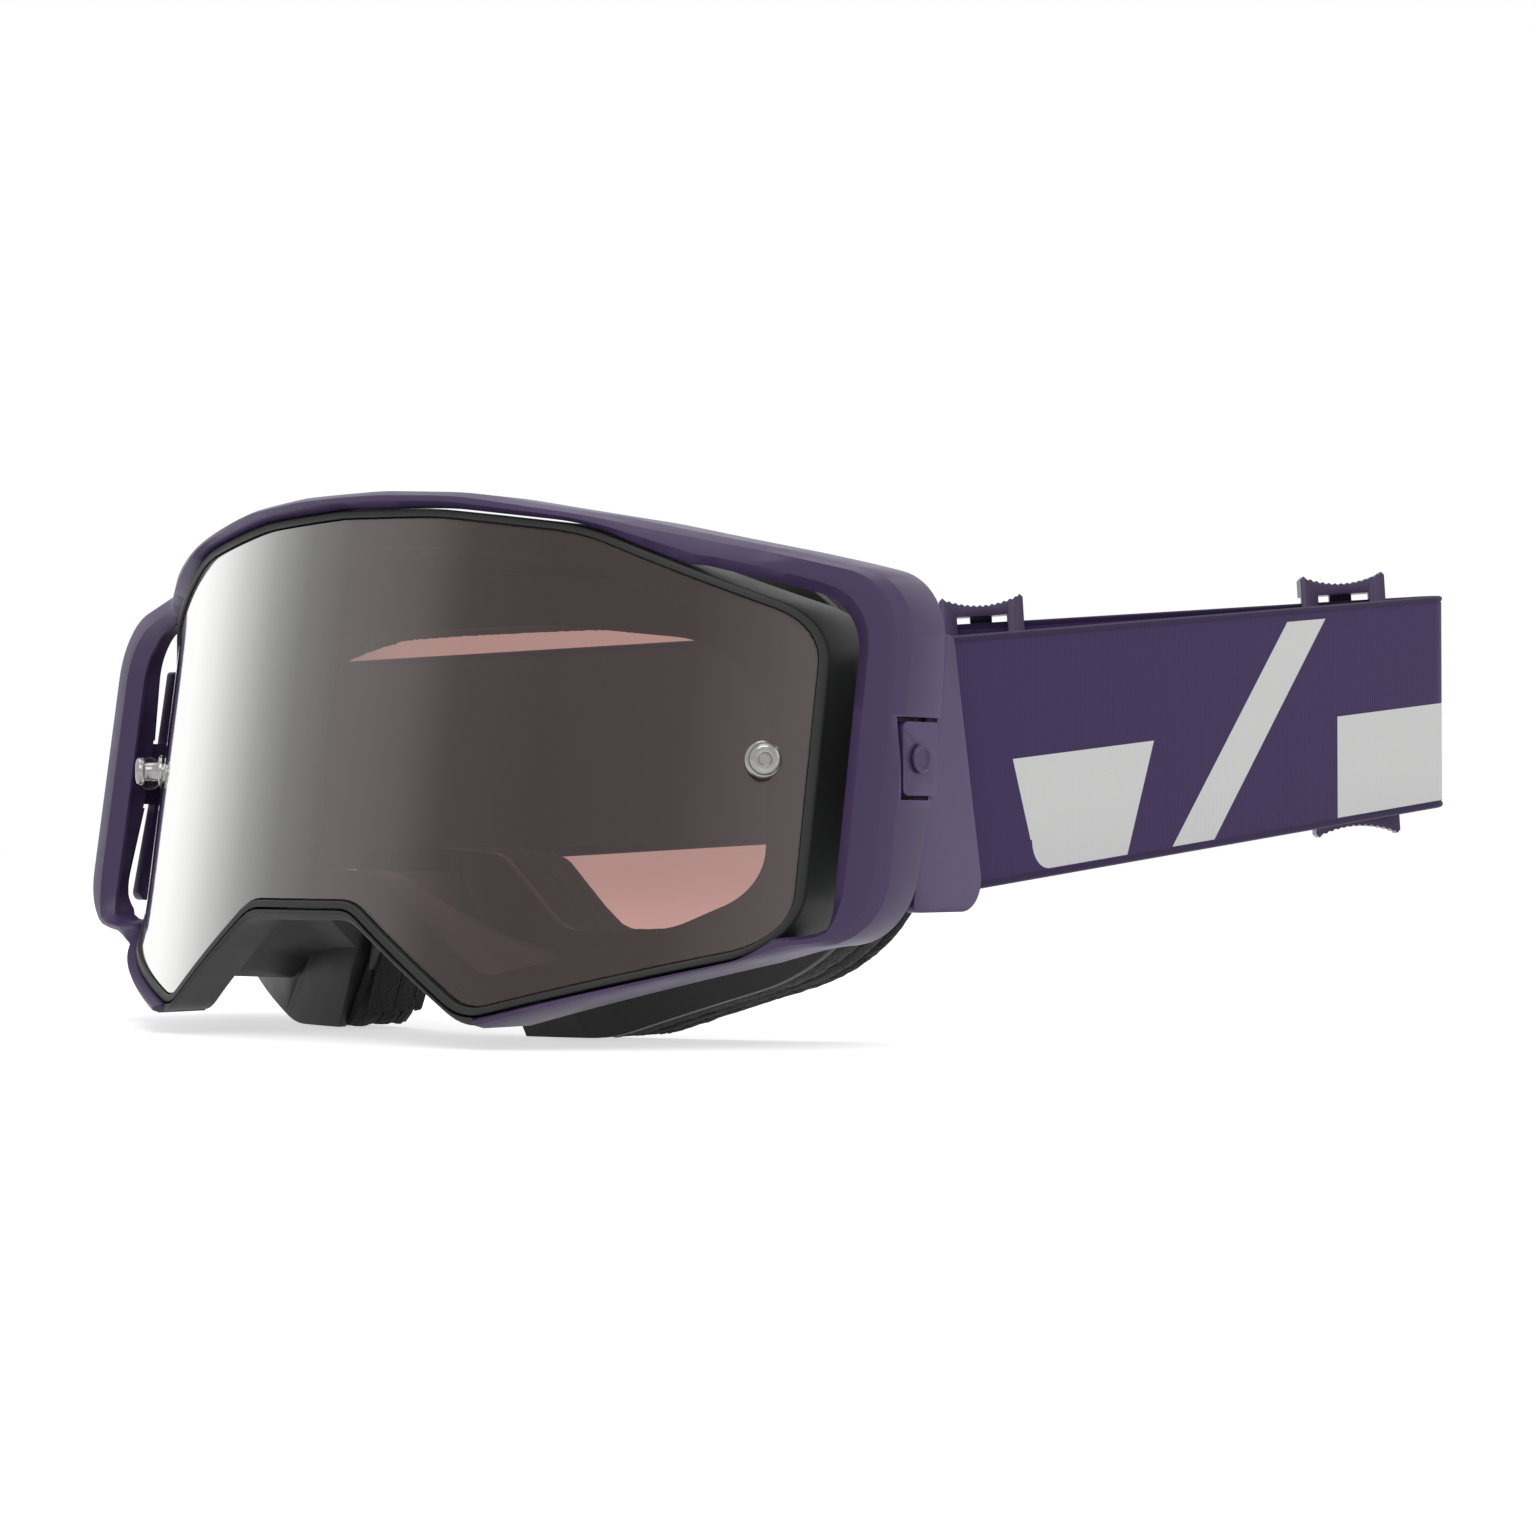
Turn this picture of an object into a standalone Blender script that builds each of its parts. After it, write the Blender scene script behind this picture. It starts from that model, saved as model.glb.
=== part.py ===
"""Motocross goggles with a pivoting outrigger strap, built as an assembly of separate pieces.

Design frame, in millimetres: X points to the wearer's left, Y points from the lens towards the
head and Z points up.  The mid-plane is X = 0, the lens notch over the nose starts at Y = 0 and the
tear-off posts lie at Z = 0.  Every object is parented to one root empty, which moves the finished
assembly so that the middle of its underside lies at the world origin.
"""
import math

import bmesh
import bpy
import numpy as np
from mathutils import Matrix, Vector

MM = 0.001
GAP = 0.3                      # running and seating clearance between neighbouring pieces
MERGE = 0.00005                # merge distance of modifiers, metres
RING_STEPS = 40                # stations along half of a ring that follows the lens

# Lens: cylindrical about a vertical axis and leaning back, with a cut-out over the nose.
LENS_RADIUS = 102.0
LENS_LEAN = 0.16               # backward travel for each millimetre of height
LENS_APEX = 3.5
LENS_THICK = 1.0
LENS_TOP = 39.4
LENS_HALF_WIDTH = 75.2
LENS_SIDE_BOTTOM = -27.4
NOSE_PEAK_X = 34.5
NOSE_PEAK_Z = -38.3
NOTCH_HALF_WIDTH = 12.0
NOTCH_Z = -21.6
POLE_Z = 5.0                   # height of the point that all rings are star-shaped about

# Inner frame that carries the lens in a rabbet.
LIP_WIDTH = 1.2
LIP_PROUD = 0.7
SEAT_WIDTH = 4.5
LENS_FRAME_DEPTH = 8.0

# Outer frame: a C that is open under the nose, with a strut standing off each side of the lens.
FRAME_HALF_WIDTH = 92.3
FRAME_TOP = 43.6
FRAME_BOTTOM_RIM = 3.6         # how far it reaches below the lens
STRUT_INNER_X = 83.8
STRUT_FRONT_Y = 33.0
STRUT_FRONT_SLOPE = 0.30
FRAME_PROUD = 2.8              # how far its front edge stands before the lens
FRAME_BEVEL = 2.4
FRAME_WEB = 5.6                # depth of the front flange above and below the lens
STRUT_WEB = 3.0                # depth of the front flange on the struts
RIM_LIP = (1.0, 0.8)           # thickness and depth of the rear lip above and below the lens
STRUT_LIP = (0.7, 3.6)         # the same on the struts, where the outrigger swings under it
FRAME_DEPTH = 12.0
SIDE_WALL = 4.6
RIM_WALL = 1.7
SIDE_BACK_Y = 46.7
END_ANGLE = -50.5
STRUT_FROM_X = 72.0            # the rim's section turns into the strut's from here on
STRUT_BLEND = 12.0
SIDE_LEAN_UP = 0.10            # slope of the strut's rear edge above and below the pivot
SIDE_LEAN_DOWN = 0.28              # polar angle, in degrees, where the C ends beside the nose

# Nose bridge strip between the ends of the C.
BRIDGE_WIDTH = 1.6

# Face side: flange, then three foam layers on a cylinder that fits the face.
FACE_RADIUS = 118.0
FACE_APEX = 31.0
FACE_LEAN = 0.05
FLANGE_WALL = 1.8
FLANGE_GAP = 0.42              # clearance to the lens frame, which the facets eat into
FLANGE_RIM = 1.6               # thickness of the rim that carries the foam
FLANGE_MEETS = 0.86            # share of the wall's run at which it meets the rim
FLANGE_SPREAD = 0.55           # where on the rim the wall ends, from its inner to its outer side
FOAM_BASE = 6.0
FOAM_MIDDLE = 4.0
FLEECE = 2.5
PORT_TOP = 22.5
PORT_HALF_WIDTH = 59.5
PORT_SIDE_BOTTOM = -20.0
PORT_LOW_X = 38.0
PORT_LOW_Z = -26.5
PORT_NOSE_Z = -13.5
CUSHION_TOP = 36.5
CUSHION_HALF_WIDTH = 73.5
CUSHION_SIDE_BOTTOM = -31.0
CUSHION_LOW_X = 25.0
CUSHION_LOW_Z = -44.0
CUSHION_NOSE_HALF = 11.5
CUSHION_NOSE_Z = -20.5

# Vent on each side of the flange's top: polar angles in degrees, then shares of its depth.
VENT_SPAN = (52.0, 78.0)
VENT_DEPTHS = (0.25, 0.75)
VENT_FOAM = 1.2
VENT_RADIUS = 50.0             # mean distance of the vent from the pole
VENT_RUN = 18.0                # mean length of the flange's wall at the vent

# Tear-off post in the side of the lens.
POST_X = 70.2
POST_LENGTH = 5.0
POST_RADIUS = 1.7
POST_HEAD_RADIUS = 2.5
POST_HEAD = 1.3

# Outrigger plate, its tongue and the pivot through the strut.
PIVOT_Y = 42.0
PIN_RADIUS = 1.3
PIN_HEAD_RADIUS = 2.2
PIN_HEAD = 0.5
CLIP_RADIUS = 3.0
CLIP_THICK = 0.9
PLATE_THICK = 2.0
PLATE_STEP = 1.0               # how far the plate lies below the strut's outer face
SWING_ROOM = 0.7               # room above and below the tongue in its pocket
SWING_SETBACK = 1.0            # extra gap to the strut at the plate's two front corners
POCKET_FLOOR = PLATE_STEP + PLATE_THICK + GAP
TONGUE_HALF = 5.6
TONGUE_FRONT_Y = 38.0
PLATE_TOP_Z = 19.2
PLATE_BOTTOM_Z = -23.4
PLATE_REAR_TOP_Y = 52.0
PLATE_REAR_BOTTOM_Y = 60.0
PLATE_CORNER = 5.0

# Strap: a flat webbing loop on an inclined plane.
STRAP_HEIGHT = 40.0
STRAP_THICK = 1.7
STRAP_SLOPE = 0.095
STRAP_LEVEL_Y = 62.0           # where the middle of the strap lies at Z = 0
STRAP_START_Y = 49.5
FOLD_CORNER = (88.0, 219.7)
FOLD_RADIUS = 6.0
FAR_BEND_Y = 75.0
FAR_BEND_RADIUS = 16.0
GRIP_THICK = 0.6
GRIP_HEIGHT = 36.0
STITCH_LENGTH = 9.0
STITCH_THICK = 0.9

# Three-bar sliders on the straight strand: distance along it from the fold end.
SLIDER_WIDTH = 16.0
SLIDER_RAIL = 5.0
SLIDER_PLATE = 1.5
SLIDER_BAR = 4.2
SLIDER_SIDE_BAR = 3.2
SLIDER_ROOM = 1.2              # room between the strap's edges and the rails
SLIDER_TRAVEL = 15.0
SLIDER_STATIONS = {"slider_rear": 10.0, "slider_front": 79.0}

COLOURS = {
    "purple": (0.075, 0.050, 0.110, 0.45),
    "black": (0.030, 0.031, 0.030, 0.50),
    "lens": (0.120, 0.110, 0.105, 0.08),
    "foam": (0.022, 0.022, 0.022, 0.95),
    "fleece": (0.012, 0.012, 0.012, 1.00),
    "webbing": (0.055, 0.035, 0.105, 0.85),
    "silicone": (0.035, 0.028, 0.022, 0.60),
    "clear": (0.600, 0.610, 0.620, 0.12),
    "steel": (0.350, 0.350, 0.370, 0.30),
}


# ---------------------------------------------------------------- scene and object helpers

def clear_scene():
    """Remove every object that the file starts with."""
    for item in list(bpy.data.objects):
        bpy.data.objects.remove(item, do_unlink=True)


def make_collection(name):
    """Return a new collection linked to the scene."""
    group = bpy.data.collections.new(name)
    bpy.context.scene.collection.children.link(group)
    return group


def finish_of(name, colour):
    """Return a new Principled material for one piece."""
    material = bpy.data.materials.new(name + "_finish")
    material.use_nodes = True
    shader = material.node_tree.nodes["Principled BSDF"]
    red, green, blue, rough = COLOURS[colour]
    shader.inputs["Base Color"].default_value = (red, green, blue, 1.0)
    shader.inputs["Roughness"].default_value = rough
    shader.inputs["Metallic"].default_value = 1.0 if colour == "steel" else 0.0
    material.diffuse_color = (red, green, blue, 1.0)
    return material


def add_object(name, mesh, colour, group, parent):
    """Link a mesh object, give it a finish and hang it under its parent."""
    thing = bpy.data.objects.new(name, mesh)
    group.objects.link(thing)
    thing.parent = parent
    if colour:
        mesh.materials.append(finish_of(name, colour))
        mesh.shade_smooth()
        mesh.set_sharp_from_angle(angle=math.radians(35))
    return thing


def add_empty(name, group, parent, place):
    """Add an empty that carries a moving group on its joint axis."""
    empty = bpy.data.objects.new(name, None)
    empty.empty_display_size = 0.01
    group.objects.link(empty)
    empty.parent = parent
    empty.location = Vector(place) * MM
    return empty


def face_outwards(shape):
    """Turn the faces of a closed body outwards."""
    bmesh.ops.recalc_face_normals(shape, faces=shape.faces)
    if shape.calc_volume(signed=True) < 0:
        bmesh.ops.reverse_faces(shape, faces=shape.faces)


def mesh_from(name, points, faces):
    """Return a mesh from points in millimetres, with its faces turned outwards."""
    shape = bmesh.new()
    corners = [shape.verts.new(Vector(point) * MM) for point in points]
    for face in faces:
        shape.faces.new([corners[index] for index in face])
    bmesh.ops.recalc_face_normals(shape, faces=shape.faces)
    mesh = bpy.data.meshes.new(name)
    shape.to_mesh(mesh)
    shape.free()
    return mesh


def mirror(thing):
    """Complete a half that is open at the mid-plane."""
    modifier = thing.modifiers.new("Mirror", "MIRROR")
    modifier.use_axis = (True, False, False)
    modifier.use_clip = True
    modifier.merge_threshold = MERGE


def boolean(thing, other, operation):
    """Cut or join another object with the exact solver."""
    modifier = thing.modifiers.new(operation.title(), "BOOLEAN")
    modifier.operation = operation
    modifier.solver = "EXACT"
    modifier.object = other


# ---------------------------------------------------------------- outlines and surfaces

def rounded(corners, step=9.0):
    """Return an open outline through corners of (x, z, fillet radius), with true arcs."""
    path = [np.array(corners[0][:2], float)]
    for before, here, after in zip(corners, corners[1:], corners[2:]):
        point = np.array(here[:2], float)
        inward = point - np.array(before[:2], float)
        outward = np.array(after[:2], float) - point
        inward /= np.linalg.norm(inward)
        outward /= np.linalg.norm(outward)
        turn = math.atan2(inward[0] * outward[1] - inward[1] * outward[0], inward @ outward)
        if here[2] <= 0 or abs(turn) < 1e-6:
            path.append(point)
            continue
        start = point - inward * here[2] * math.tan(abs(turn) / 2)
        normal = np.array([-inward[1], inward[0]]) * math.copysign(here[2], turn)
        count = max(2, math.ceil(abs(math.degrees(turn)) / step))
        for angle in np.linspace(0, turn, count + 1):
            cosine, sine = math.cos(angle), math.sin(angle)
            arm = -normal
            spun = np.array([arm[0] * cosine - arm[1] * sine, arm[0] * sine + arm[1] * cosine])
            path.append(start + normal + spun)
    path.append(np.array(corners[-1][:2], float))
    return np.array(path)


def dense(outline, step=0.5):
    """Return the outline resampled at an even spacing."""
    lengths = np.r_[0, np.cumsum(np.linalg.norm(np.diff(outline, axis=0), axis=1))]
    stations = np.linspace(0, lengths[-1], int(lengths[-1] / step) + 1)
    return np.stack([np.interp(stations, lengths, outline[:, axis]) for axis in (0, 1)], 1)


def grown(outline, distance):
    """Return the half outline moved outwards by a distance; its ends stay on the mid-plane."""
    points = dense(outline)
    tangent = np.gradient(points, axis=0)
    tangent[[0, -1], 1] = 0
    tangent /= np.linalg.norm(tangent, axis=1, keepdims=True)
    return points + distance * np.stack([tangent[:, 1], -tangent[:, 0]], 1)


def radii(outline, angles):
    """Return how far a half outline lies from the pole at each polar angle."""
    points = dense(outline)
    reach = np.hypot(points[:, 0], points[:, 1] - POLE_Z)
    bearing = np.arctan2(points[:, 1] - POLE_Z, points[:, 0])
    order = np.argsort(bearing)
    return np.interp(angles, bearing[order], reach[order])


def at(radius, angles):
    """Return X and Z of points at polar radii and angles."""
    across = radius * np.cos(angles)
    across[np.abs(np.abs(angles) - math.pi / 2) < 1e-9] = 0.0
    return across, POLE_Z + radius * np.sin(angles)


def lens_y(x, z):
    """Depth of the lens's front surface."""
    sag = LENS_RADIUS - np.sqrt(np.maximum(LENS_RADIUS ** 2 - x ** 2, 1.0))
    return LENS_APEX + sag + LENS_LEAN * z


def behind(distance):
    """Return a depth function for the surface a distance behind the lens's front, square to it."""
    def depth(x, z):
        flat = np.sqrt(np.maximum(LENS_RADIUS ** 2 - x ** 2, 1.0))
        return lens_y(x, z) + distance * LENS_RADIUS / flat
    return depth


def frame_y(x, z):
    """Depth of the outer frame's front edge: before the lens, then flatter over the struts."""
    strut = STRUT_FRONT_Y + STRUT_FRONT_SLOPE * (x - STRUT_INNER_X) + LENS_LEAN * z
    return np.minimum(lens_y(x, z) - FRAME_PROUD, strut)


def face_y(x, z):
    """Depth of the flange's rear edge, where the foam starts."""
    sag = FACE_RADIUS - np.sqrt(FACE_RADIUS ** 2 - x ** 2)
    return FACE_APEX + sag + FACE_LEAN * z


def lens_outline():
    """Half outline of the lens from the notch to the top."""
    return rounded([
        (0, NOTCH_Z, 0), (NOTCH_HALF_WIDTH, NOTCH_Z, 8), (NOSE_PEAK_X, NOSE_PEAK_Z, 6),
        (LENS_HALF_WIDTH, LENS_SIDE_BOTTOM, 9),
        (LENS_HALF_WIDTH, LENS_TOP - 18.6, 9), (44, LENS_TOP - 4.1, 30), (20, LENS_TOP - 0.7, 60),
        (0, LENS_TOP, 0)])


def frame_outline():
    """Half outline of the outer frame's outer side."""
    rim = FRAME_BOTTOM_RIM
    return rounded([
        (0, NOTCH_Z - rim, 0), (NOTCH_HALF_WIDTH, NOTCH_Z - rim, 8),
        (NOSE_PEAK_X + 1, NOSE_PEAK_Z - rim, 6), (78, LENS_SIDE_BOTTOM - rim + 2.2, 30),
        (FRAME_HALF_WIDTH, -27.5, 10), (FRAME_HALF_WIDTH, FRAME_TOP - 16.5, 12),
        (52, FRAME_TOP - 6.2, 60), (26, FRAME_TOP - 1.1, 60), (9, FRAME_TOP, 60), (0, FRAME_TOP, 0)])


def strut_outline():
    """Half outline of the outer frame's inner side, clear of the lens frame."""
    around = grown(lens_outline(), LIP_WIDTH + GAP + GAP)
    window = dense(rounded([
        (0, -60, 0), (30, -60, 0), (STRUT_INNER_X, -27.5, 9),
        (STRUT_INNER_X, 23.5, 10), (60, 30.5, 5), (0, 20, 0)]))
    return around, window


def port_outline():
    """Half outline of the opening for the eyes in the foam."""
    return rounded([
        (0, PORT_NOSE_Z, 0), (16, PORT_NOSE_Z - 1, 7), (PORT_LOW_X - 10, PORT_LOW_Z - 0.5, 8),
        (PORT_LOW_X + 8, PORT_LOW_Z, 14), (PORT_HALF_WIDTH, PORT_SIDE_BOTTOM, 10),
        (PORT_HALF_WIDTH, PORT_TOP - 4, 16), (25, PORT_TOP, 50), (0, PORT_TOP, 0)])


def cushion_outline():
    """Half outline of the foam's outer side."""
    return rounded([
        (0, CUSHION_NOSE_Z, 0), (CUSHION_NOSE_HALF, CUSHION_NOSE_Z, 4),
        (CUSHION_LOW_X - 9, CUSHION_LOW_Z, 6), (CUSHION_LOW_X + 12, CUSHION_LOW_Z, 20),
        (CUSHION_HALF_WIDTH, CUSHION_SIDE_BOTTOM, 22), (CUSHION_HALF_WIDTH, CUSHION_TOP - 6, 26),
        (30, CUSHION_TOP, 50), (0, CUSHION_TOP, 0)])


def ring_angles():
    """Polar angles of the stations of a half ring, evenly spaced along the lens's edge."""
    points = dense(lens_outline(), 0.25)
    picked = points[np.linspace(0, len(points) - 1, RING_STEPS + 1).round().astype(int)]
    angles = np.arctan2(picked[:, 1] - POLE_Z, picked[:, 0])
    angles[[0, -1]] = (-math.pi / 2, math.pi / 2)
    return angles


def rail(radius, angles, depth):
    """Return one rail of a half ring: depth is a function of X and Z."""
    across, height = at(radius, angles)
    return np.stack([across, depth(across, height), height], 1)


def loft(name, rails, capped):
    """Return a mesh through rails that go round a closed section, with or without end caps.

    Each face starts at its outer rail, so that faces which lie on each other split the same way.
    """
    count = len(rails[0])
    turns = len(rails)
    points = np.concatenate(rails)
    reach = [np.hypot(line[:, 0], line[:, 2] - POLE_Z).sum() for line in rails]
    faces = []
    for side in range(turns):
        after = (side + 1) % turns
        far, near = (side, after) if reach[side] > reach[after] else (after, side)
        for index in range(count - 1):
            first, second = far * count + index, near * count + index
            faces.append((first, first + 1, second + 1, second))
    if capped:
        for index in (0, count - 1):
            if abs(points[index, 0]) > 1e-6:
                faces.append([side * count + index for side in range(turns)])
    return mesh_from(name, points, faces)


# ---------------------------------------------------------------- goggle frame pieces

def build_lens(group, root):
    """Cylindrical lens with the nose cut-out and a hole for each tear-off post."""
    angles = ring_angles()
    reach = radii(lens_outline(), angles)
    rings = (0.36 * reach, 0.7 * reach, reach - SEAT_WIDTH - 1.0, reach)
    rows = [rail(ring, angles, lens_y) for ring in rings]
    points = [(0.0, float(lens_y(0.0, POLE_Z)), POLE_Z)] + list(np.concatenate(rows))
    count = len(angles)
    faces = [(0, 1 + index, 2 + index) for index in range(count - 1)]
    for row in range(len(rows) - 1):
        for index in range(count - 1):
            low = 1 + row * count + index
            faces.append((low, low + count, low + count + 1, low + 1))
    mesh = mesh_from("lens", points, faces)
    if sum(face.normal.y * face.area for face in mesh.polygons) > 0:
        mesh.flip_normals()
    lens = add_object("lens", mesh, "lens", group, root)
    mirror(lens)
    modifier = lens.modifiers.new("Thickness", "SOLIDIFY")
    modifier.thickness = LENS_THICK * MM
    modifier.offset = -1.0
    return lens


def build_lens_frame(group, root):
    """Inner frame: a seat behind the lens and a thin lip round its edge."""
    angles = ring_angles()
    outline = lens_outline()
    inner = radii(grown(outline, -SEAT_WIDTH), angles)
    lip = radii(grown(outline, GAP), angles)
    outer = radii(grown(outline, GAP + LIP_WIDTH), angles)
    seat = behind(LENS_THICK + GAP)
    front = behind(-LIP_PROUD)
    back = behind(LENS_FRAME_DEPTH)
    rails = [
        rail(inner, angles, seat), rail(lip, angles, seat), rail(lip, angles, front),
        rail(outer, angles, front), rail(outer, angles, back), rail(inner, angles, back)]
    frame = add_object("lens_frame", loft("lens_frame", rails, False), "black", group, root)
    mirror(frame)
    return frame


def frame_angles():
    """Stations of the outer frame, from its free end beside the nose to the top."""
    angles = ring_angles()
    end = math.radians(END_ANGLE)
    return np.r_[end, angles[angles > end + 0.02]]


def blend(rim, strut, share):
    """A value that runs from the rim's to the strut's."""
    return rim + (strut - rim) * share


def side_edge(z):
    """Rear edge of the strut's side wall at a height."""
    return SIDE_BACK_Y + np.where(z > 0, SIDE_LEAN_UP, SIDE_LEAN_DOWN) * z


def side_share(angles):
    """How much a station belongs to the strut: 1 beside the lens, 0 above and below it."""
    across = at(radii(frame_outline(), angles), angles)[0]
    return np.clip((across - STRUT_FROM_X) / STRUT_BLEND, 0.0, 1.0)


def build_outer_frame(group, root):
    """C-shaped outer frame: front flange with bevels and a side wall that runs back."""
    angles = frame_angles()
    around, window = strut_outline()
    outer = radii(frame_outline(), angles)
    inner = np.maximum(radii(around, angles), np.minimum(radii(window, angles), outer - 4.0))
    width = outer - inner
    share = side_share(angles)
    wall = np.minimum(blend(RIM_WALL, SIDE_WALL, share), width - 0.3)
    lip = blend(RIM_LIP[0], STRUT_LIP[0], share)
    lip_depth = blend(RIM_LIP[1], STRUT_LIP[1], share)
    web = blend(FRAME_WEB, STRUT_WEB, share)

    def back(x, z):
        return blend(frame_y(x, z) + FRAME_DEPTH, side_edge(z), share)

    def front(shift):
        return lambda x, z: frame_y(x, z) + shift

    rails = [
        rail(inner, angles, front(FRAME_BEVEL)),
        rail(inner + 0.35 * width, angles, front(0.0)),
        rail(outer - np.minimum(1.4, 0.3 * width), angles, front(0.3)),
        rail(outer, angles, front(2.0)),
        rail(outer, angles, back),
        rail(outer - lip, angles, back),
        rail(outer - lip, angles, lambda x, z: back(x, z) - lip_depth),
        rail(outer - wall, angles, lambda x, z: back(x, z) - lip_depth),
        rail(outer - wall, angles, front(web)),
        rail(inner, angles, front(web))]
    frame = add_object("outer_frame", loft("outer_frame", rails, True), "purple", group, root)
    mirror(frame)
    return frame


def build_nose_bridge(group, root):
    """Strip that closes the rim over the nose between the ends of the outer frame."""
    angles = ring_angles()
    end = math.radians(END_ANGLE)
    angles = np.r_[angles[angles < end - 0.03], end - 0.012]
    outline = lens_outline()
    inner = radii(grown(outline, LIP_WIDTH + 2 * GAP), angles)
    outer = inner + BRIDGE_WIDTH
    rails = [
        rail(inner, angles, behind(-LIP_PROUD - 0.3)), rail(outer, angles, behind(-LIP_PROUD + 0.3)),
        rail(outer, angles, behind(LENS_FRAME_DEPTH)), rail(inner, angles, behind(LENS_FRAME_DEPTH))]
    strip = add_object("nose_bridge", loft("nose_bridge", rails, True), "black", group, root)
    mirror(strip)
    return strip


# ---------------------------------------------------------------- face side

def flange_rail(angles, share, lift):
    """One rail of the flange: share runs from the lens frame to the foam, lift from inside out."""
    outline = lens_outline()
    front = radii(grown(outline, -SEAT_WIDTH + 0.6), angles) + lift
    wide, narrow = radii(cushion_outline(), angles), radii(port_outline(), angles)
    rear = narrow + FLANGE_SPREAD * (wide - narrow) + lift
    across_a, height_a = at(front, angles)
    across_b, height_b = at(rear, angles)
    start = np.stack([across_a, behind(LENS_FRAME_DEPTH + FLANGE_GAP)(across_a, height_a), height_a], 1)
    end = np.stack([across_b, face_y(across_b, height_b), height_b], 1)
    return start + (end - start) * share


def build_flange(group, tools, root):
    """Flange that widens from the lens frame to the foam, with its vents and vent foams."""
    angles = ring_angles()
    cushion = radii(cushion_outline(), angles)
    port = radii(port_outline(), angles)
    rails = [
        flange_rail(angles, 0.0, 0.0),
        flange_rail(angles, 0.0, FLANGE_WALL),
        flange_rail(angles, FLANGE_MEETS, FLANGE_WALL),
        rail(cushion, angles, lambda x, z: face_y(x, z) - FLANGE_RIM),
        rail(cushion, angles, face_y),
        rail(port, angles, face_y),
        rail(port, angles, lambda x, z: face_y(x, z) - FLANGE_RIM),
        flange_rail(angles, FLANGE_MEETS, 0.0)]
    flange = add_object("face_flange", loft("face_flange", rails, False), "black", group, root)
    mirror(flange)
    lift = (FLANGE_WALL - VENT_FOAM) / 2
    for side, label in ((1, "left"), (-1, "right")):
        window = flange_patch("cut_vent_" + label, side, 0.0, -2.0, FLANGE_WALL + 3.0)
        boolean(flange, add_cutter(window.name, window, tools, root), "DIFFERENCE")
        filling = flange_patch("vent_foam_" + label, side, GAP, lift, lift + VENT_FOAM)
        add_object(filling.name, filling, "foam", group, root)
    return flange


def flange_patch(name, side, inset, low, high):
    """Return a block in the flange's wall over the vent's span, drawn in by an inset."""
    step = inset / VENT_RADIUS
    angles = np.linspace(math.radians(VENT_SPAN[0]) + step, math.radians(VENT_SPAN[1]) - step, 7)
    near, far = VENT_DEPTHS[0] + inset / VENT_RUN, VENT_DEPTHS[1] - inset / VENT_RUN
    corners = ((near, low), (far, low), (far, high), (near, high))
    turn = np.array((side, 1.0, 1.0))
    return loft(name, [flange_rail(angles, share, lift) * turn for share, lift in corners], True)


def layer(name, start, thickness, colour, group, root):
    """One foam ring between two depths behind the flange."""
    angles = ring_angles()
    outer = radii(cushion_outline(), angles)
    inner = radii(port_outline(), angles)
    rails = [
        rail(outer, angles, lambda x, z: face_y(x, z) + start),
        rail(outer, angles, lambda x, z: face_y(x, z) + start + thickness),
        rail(inner, angles, lambda x, z: face_y(x, z) + start + thickness),
        rail(inner, angles, lambda x, z: face_y(x, z) + start)]
    ring = add_object(name, loft(name, rails, False), colour, group, root)
    mirror(ring)
    return ring


def build_foam(group, root):
    """Three foam layers, each a clearance behind the one before it."""
    start = GAP
    layer("foam_base_layer", start, FOAM_BASE, "foam", group, root)
    start += FOAM_BASE + GAP
    layer("foam_middle_layer", start, FOAM_MIDDLE, "foam", group, root)
    start += FOAM_MIDDLE + GAP
    layer("face_fleece_layer", start, FLEECE, "fleece", group, root)


# ---------------------------------------------------------------- small turned pieces

def turned(name, profile, colour, group, parent, place, axis, steps=20):
    """A profile of (radius, height) turned about its own axis, which points along axis."""
    outline = bpy.data.meshes.new(name)
    points = [(radius * MM, 0.0, height * MM) for radius, height in profile]
    outline.from_pydata(points, [(index, index + 1) for index in range(len(points) - 1)], [])
    thing = bpy.data.objects.new(name, outline)
    group.objects.link(thing)
    outline.materials.append(finish_of(name, colour))
    thing.parent = parent
    thing.location = Vector(place) * MM
    thing.rotation_euler = Vector(axis).to_track_quat("Z", "Y").to_euler()
    screw = thing.modifiers.new("Screw", "SCREW")
    screw.steps = steps
    screw.render_steps = steps
    screw.use_merge_vertices = True
    screw.merge_threshold = MERGE
    screw.use_smooth_shade = True
    return thing


def build_post(side, label, group, tools, root, lens):
    """Tear-off post whose stub sits in a hole through the lens."""
    slope = POST_X / math.sqrt(LENS_RADIUS ** 2 - POST_X ** 2)
    outward = Vector((side * slope, -1.0, 0.0)).normalized()
    base = Vector((side * POST_X, float(lens_y(POST_X, 0.0)), 0.0))
    stub = POST_RADIUS - 0.2
    flange = POST_RADIUS + 1.2
    neck = POST_LENGTH - POST_HEAD
    turned("tear_off_post_" + label, [
        (0, POST_LENGTH), (POST_HEAD_RADIUS - 0.6, POST_LENGTH), (POST_HEAD_RADIUS, POST_LENGTH - 0.5),
        (POST_HEAD_RADIUS, neck), (POST_RADIUS, neck - 0.4), (POST_RADIUS, 1.0),
        (flange, 0.9), (flange, GAP), (stub, GAP), (stub, -LENS_THICK), (0, -LENS_THICK)],
        "clear", group, root, base, outward)
    hole = plate_mesh("post_hole", circle((0.0, 0.0), stub + GAP), [], 10.0)
    cutter = add_cutter("cut_post_" + label, hole, tools, root, base)
    cutter.rotation_euler = outward.to_track_quat("X", "Z").to_euler()
    boolean(lens, cutter, "DIFFERENCE")


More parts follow.
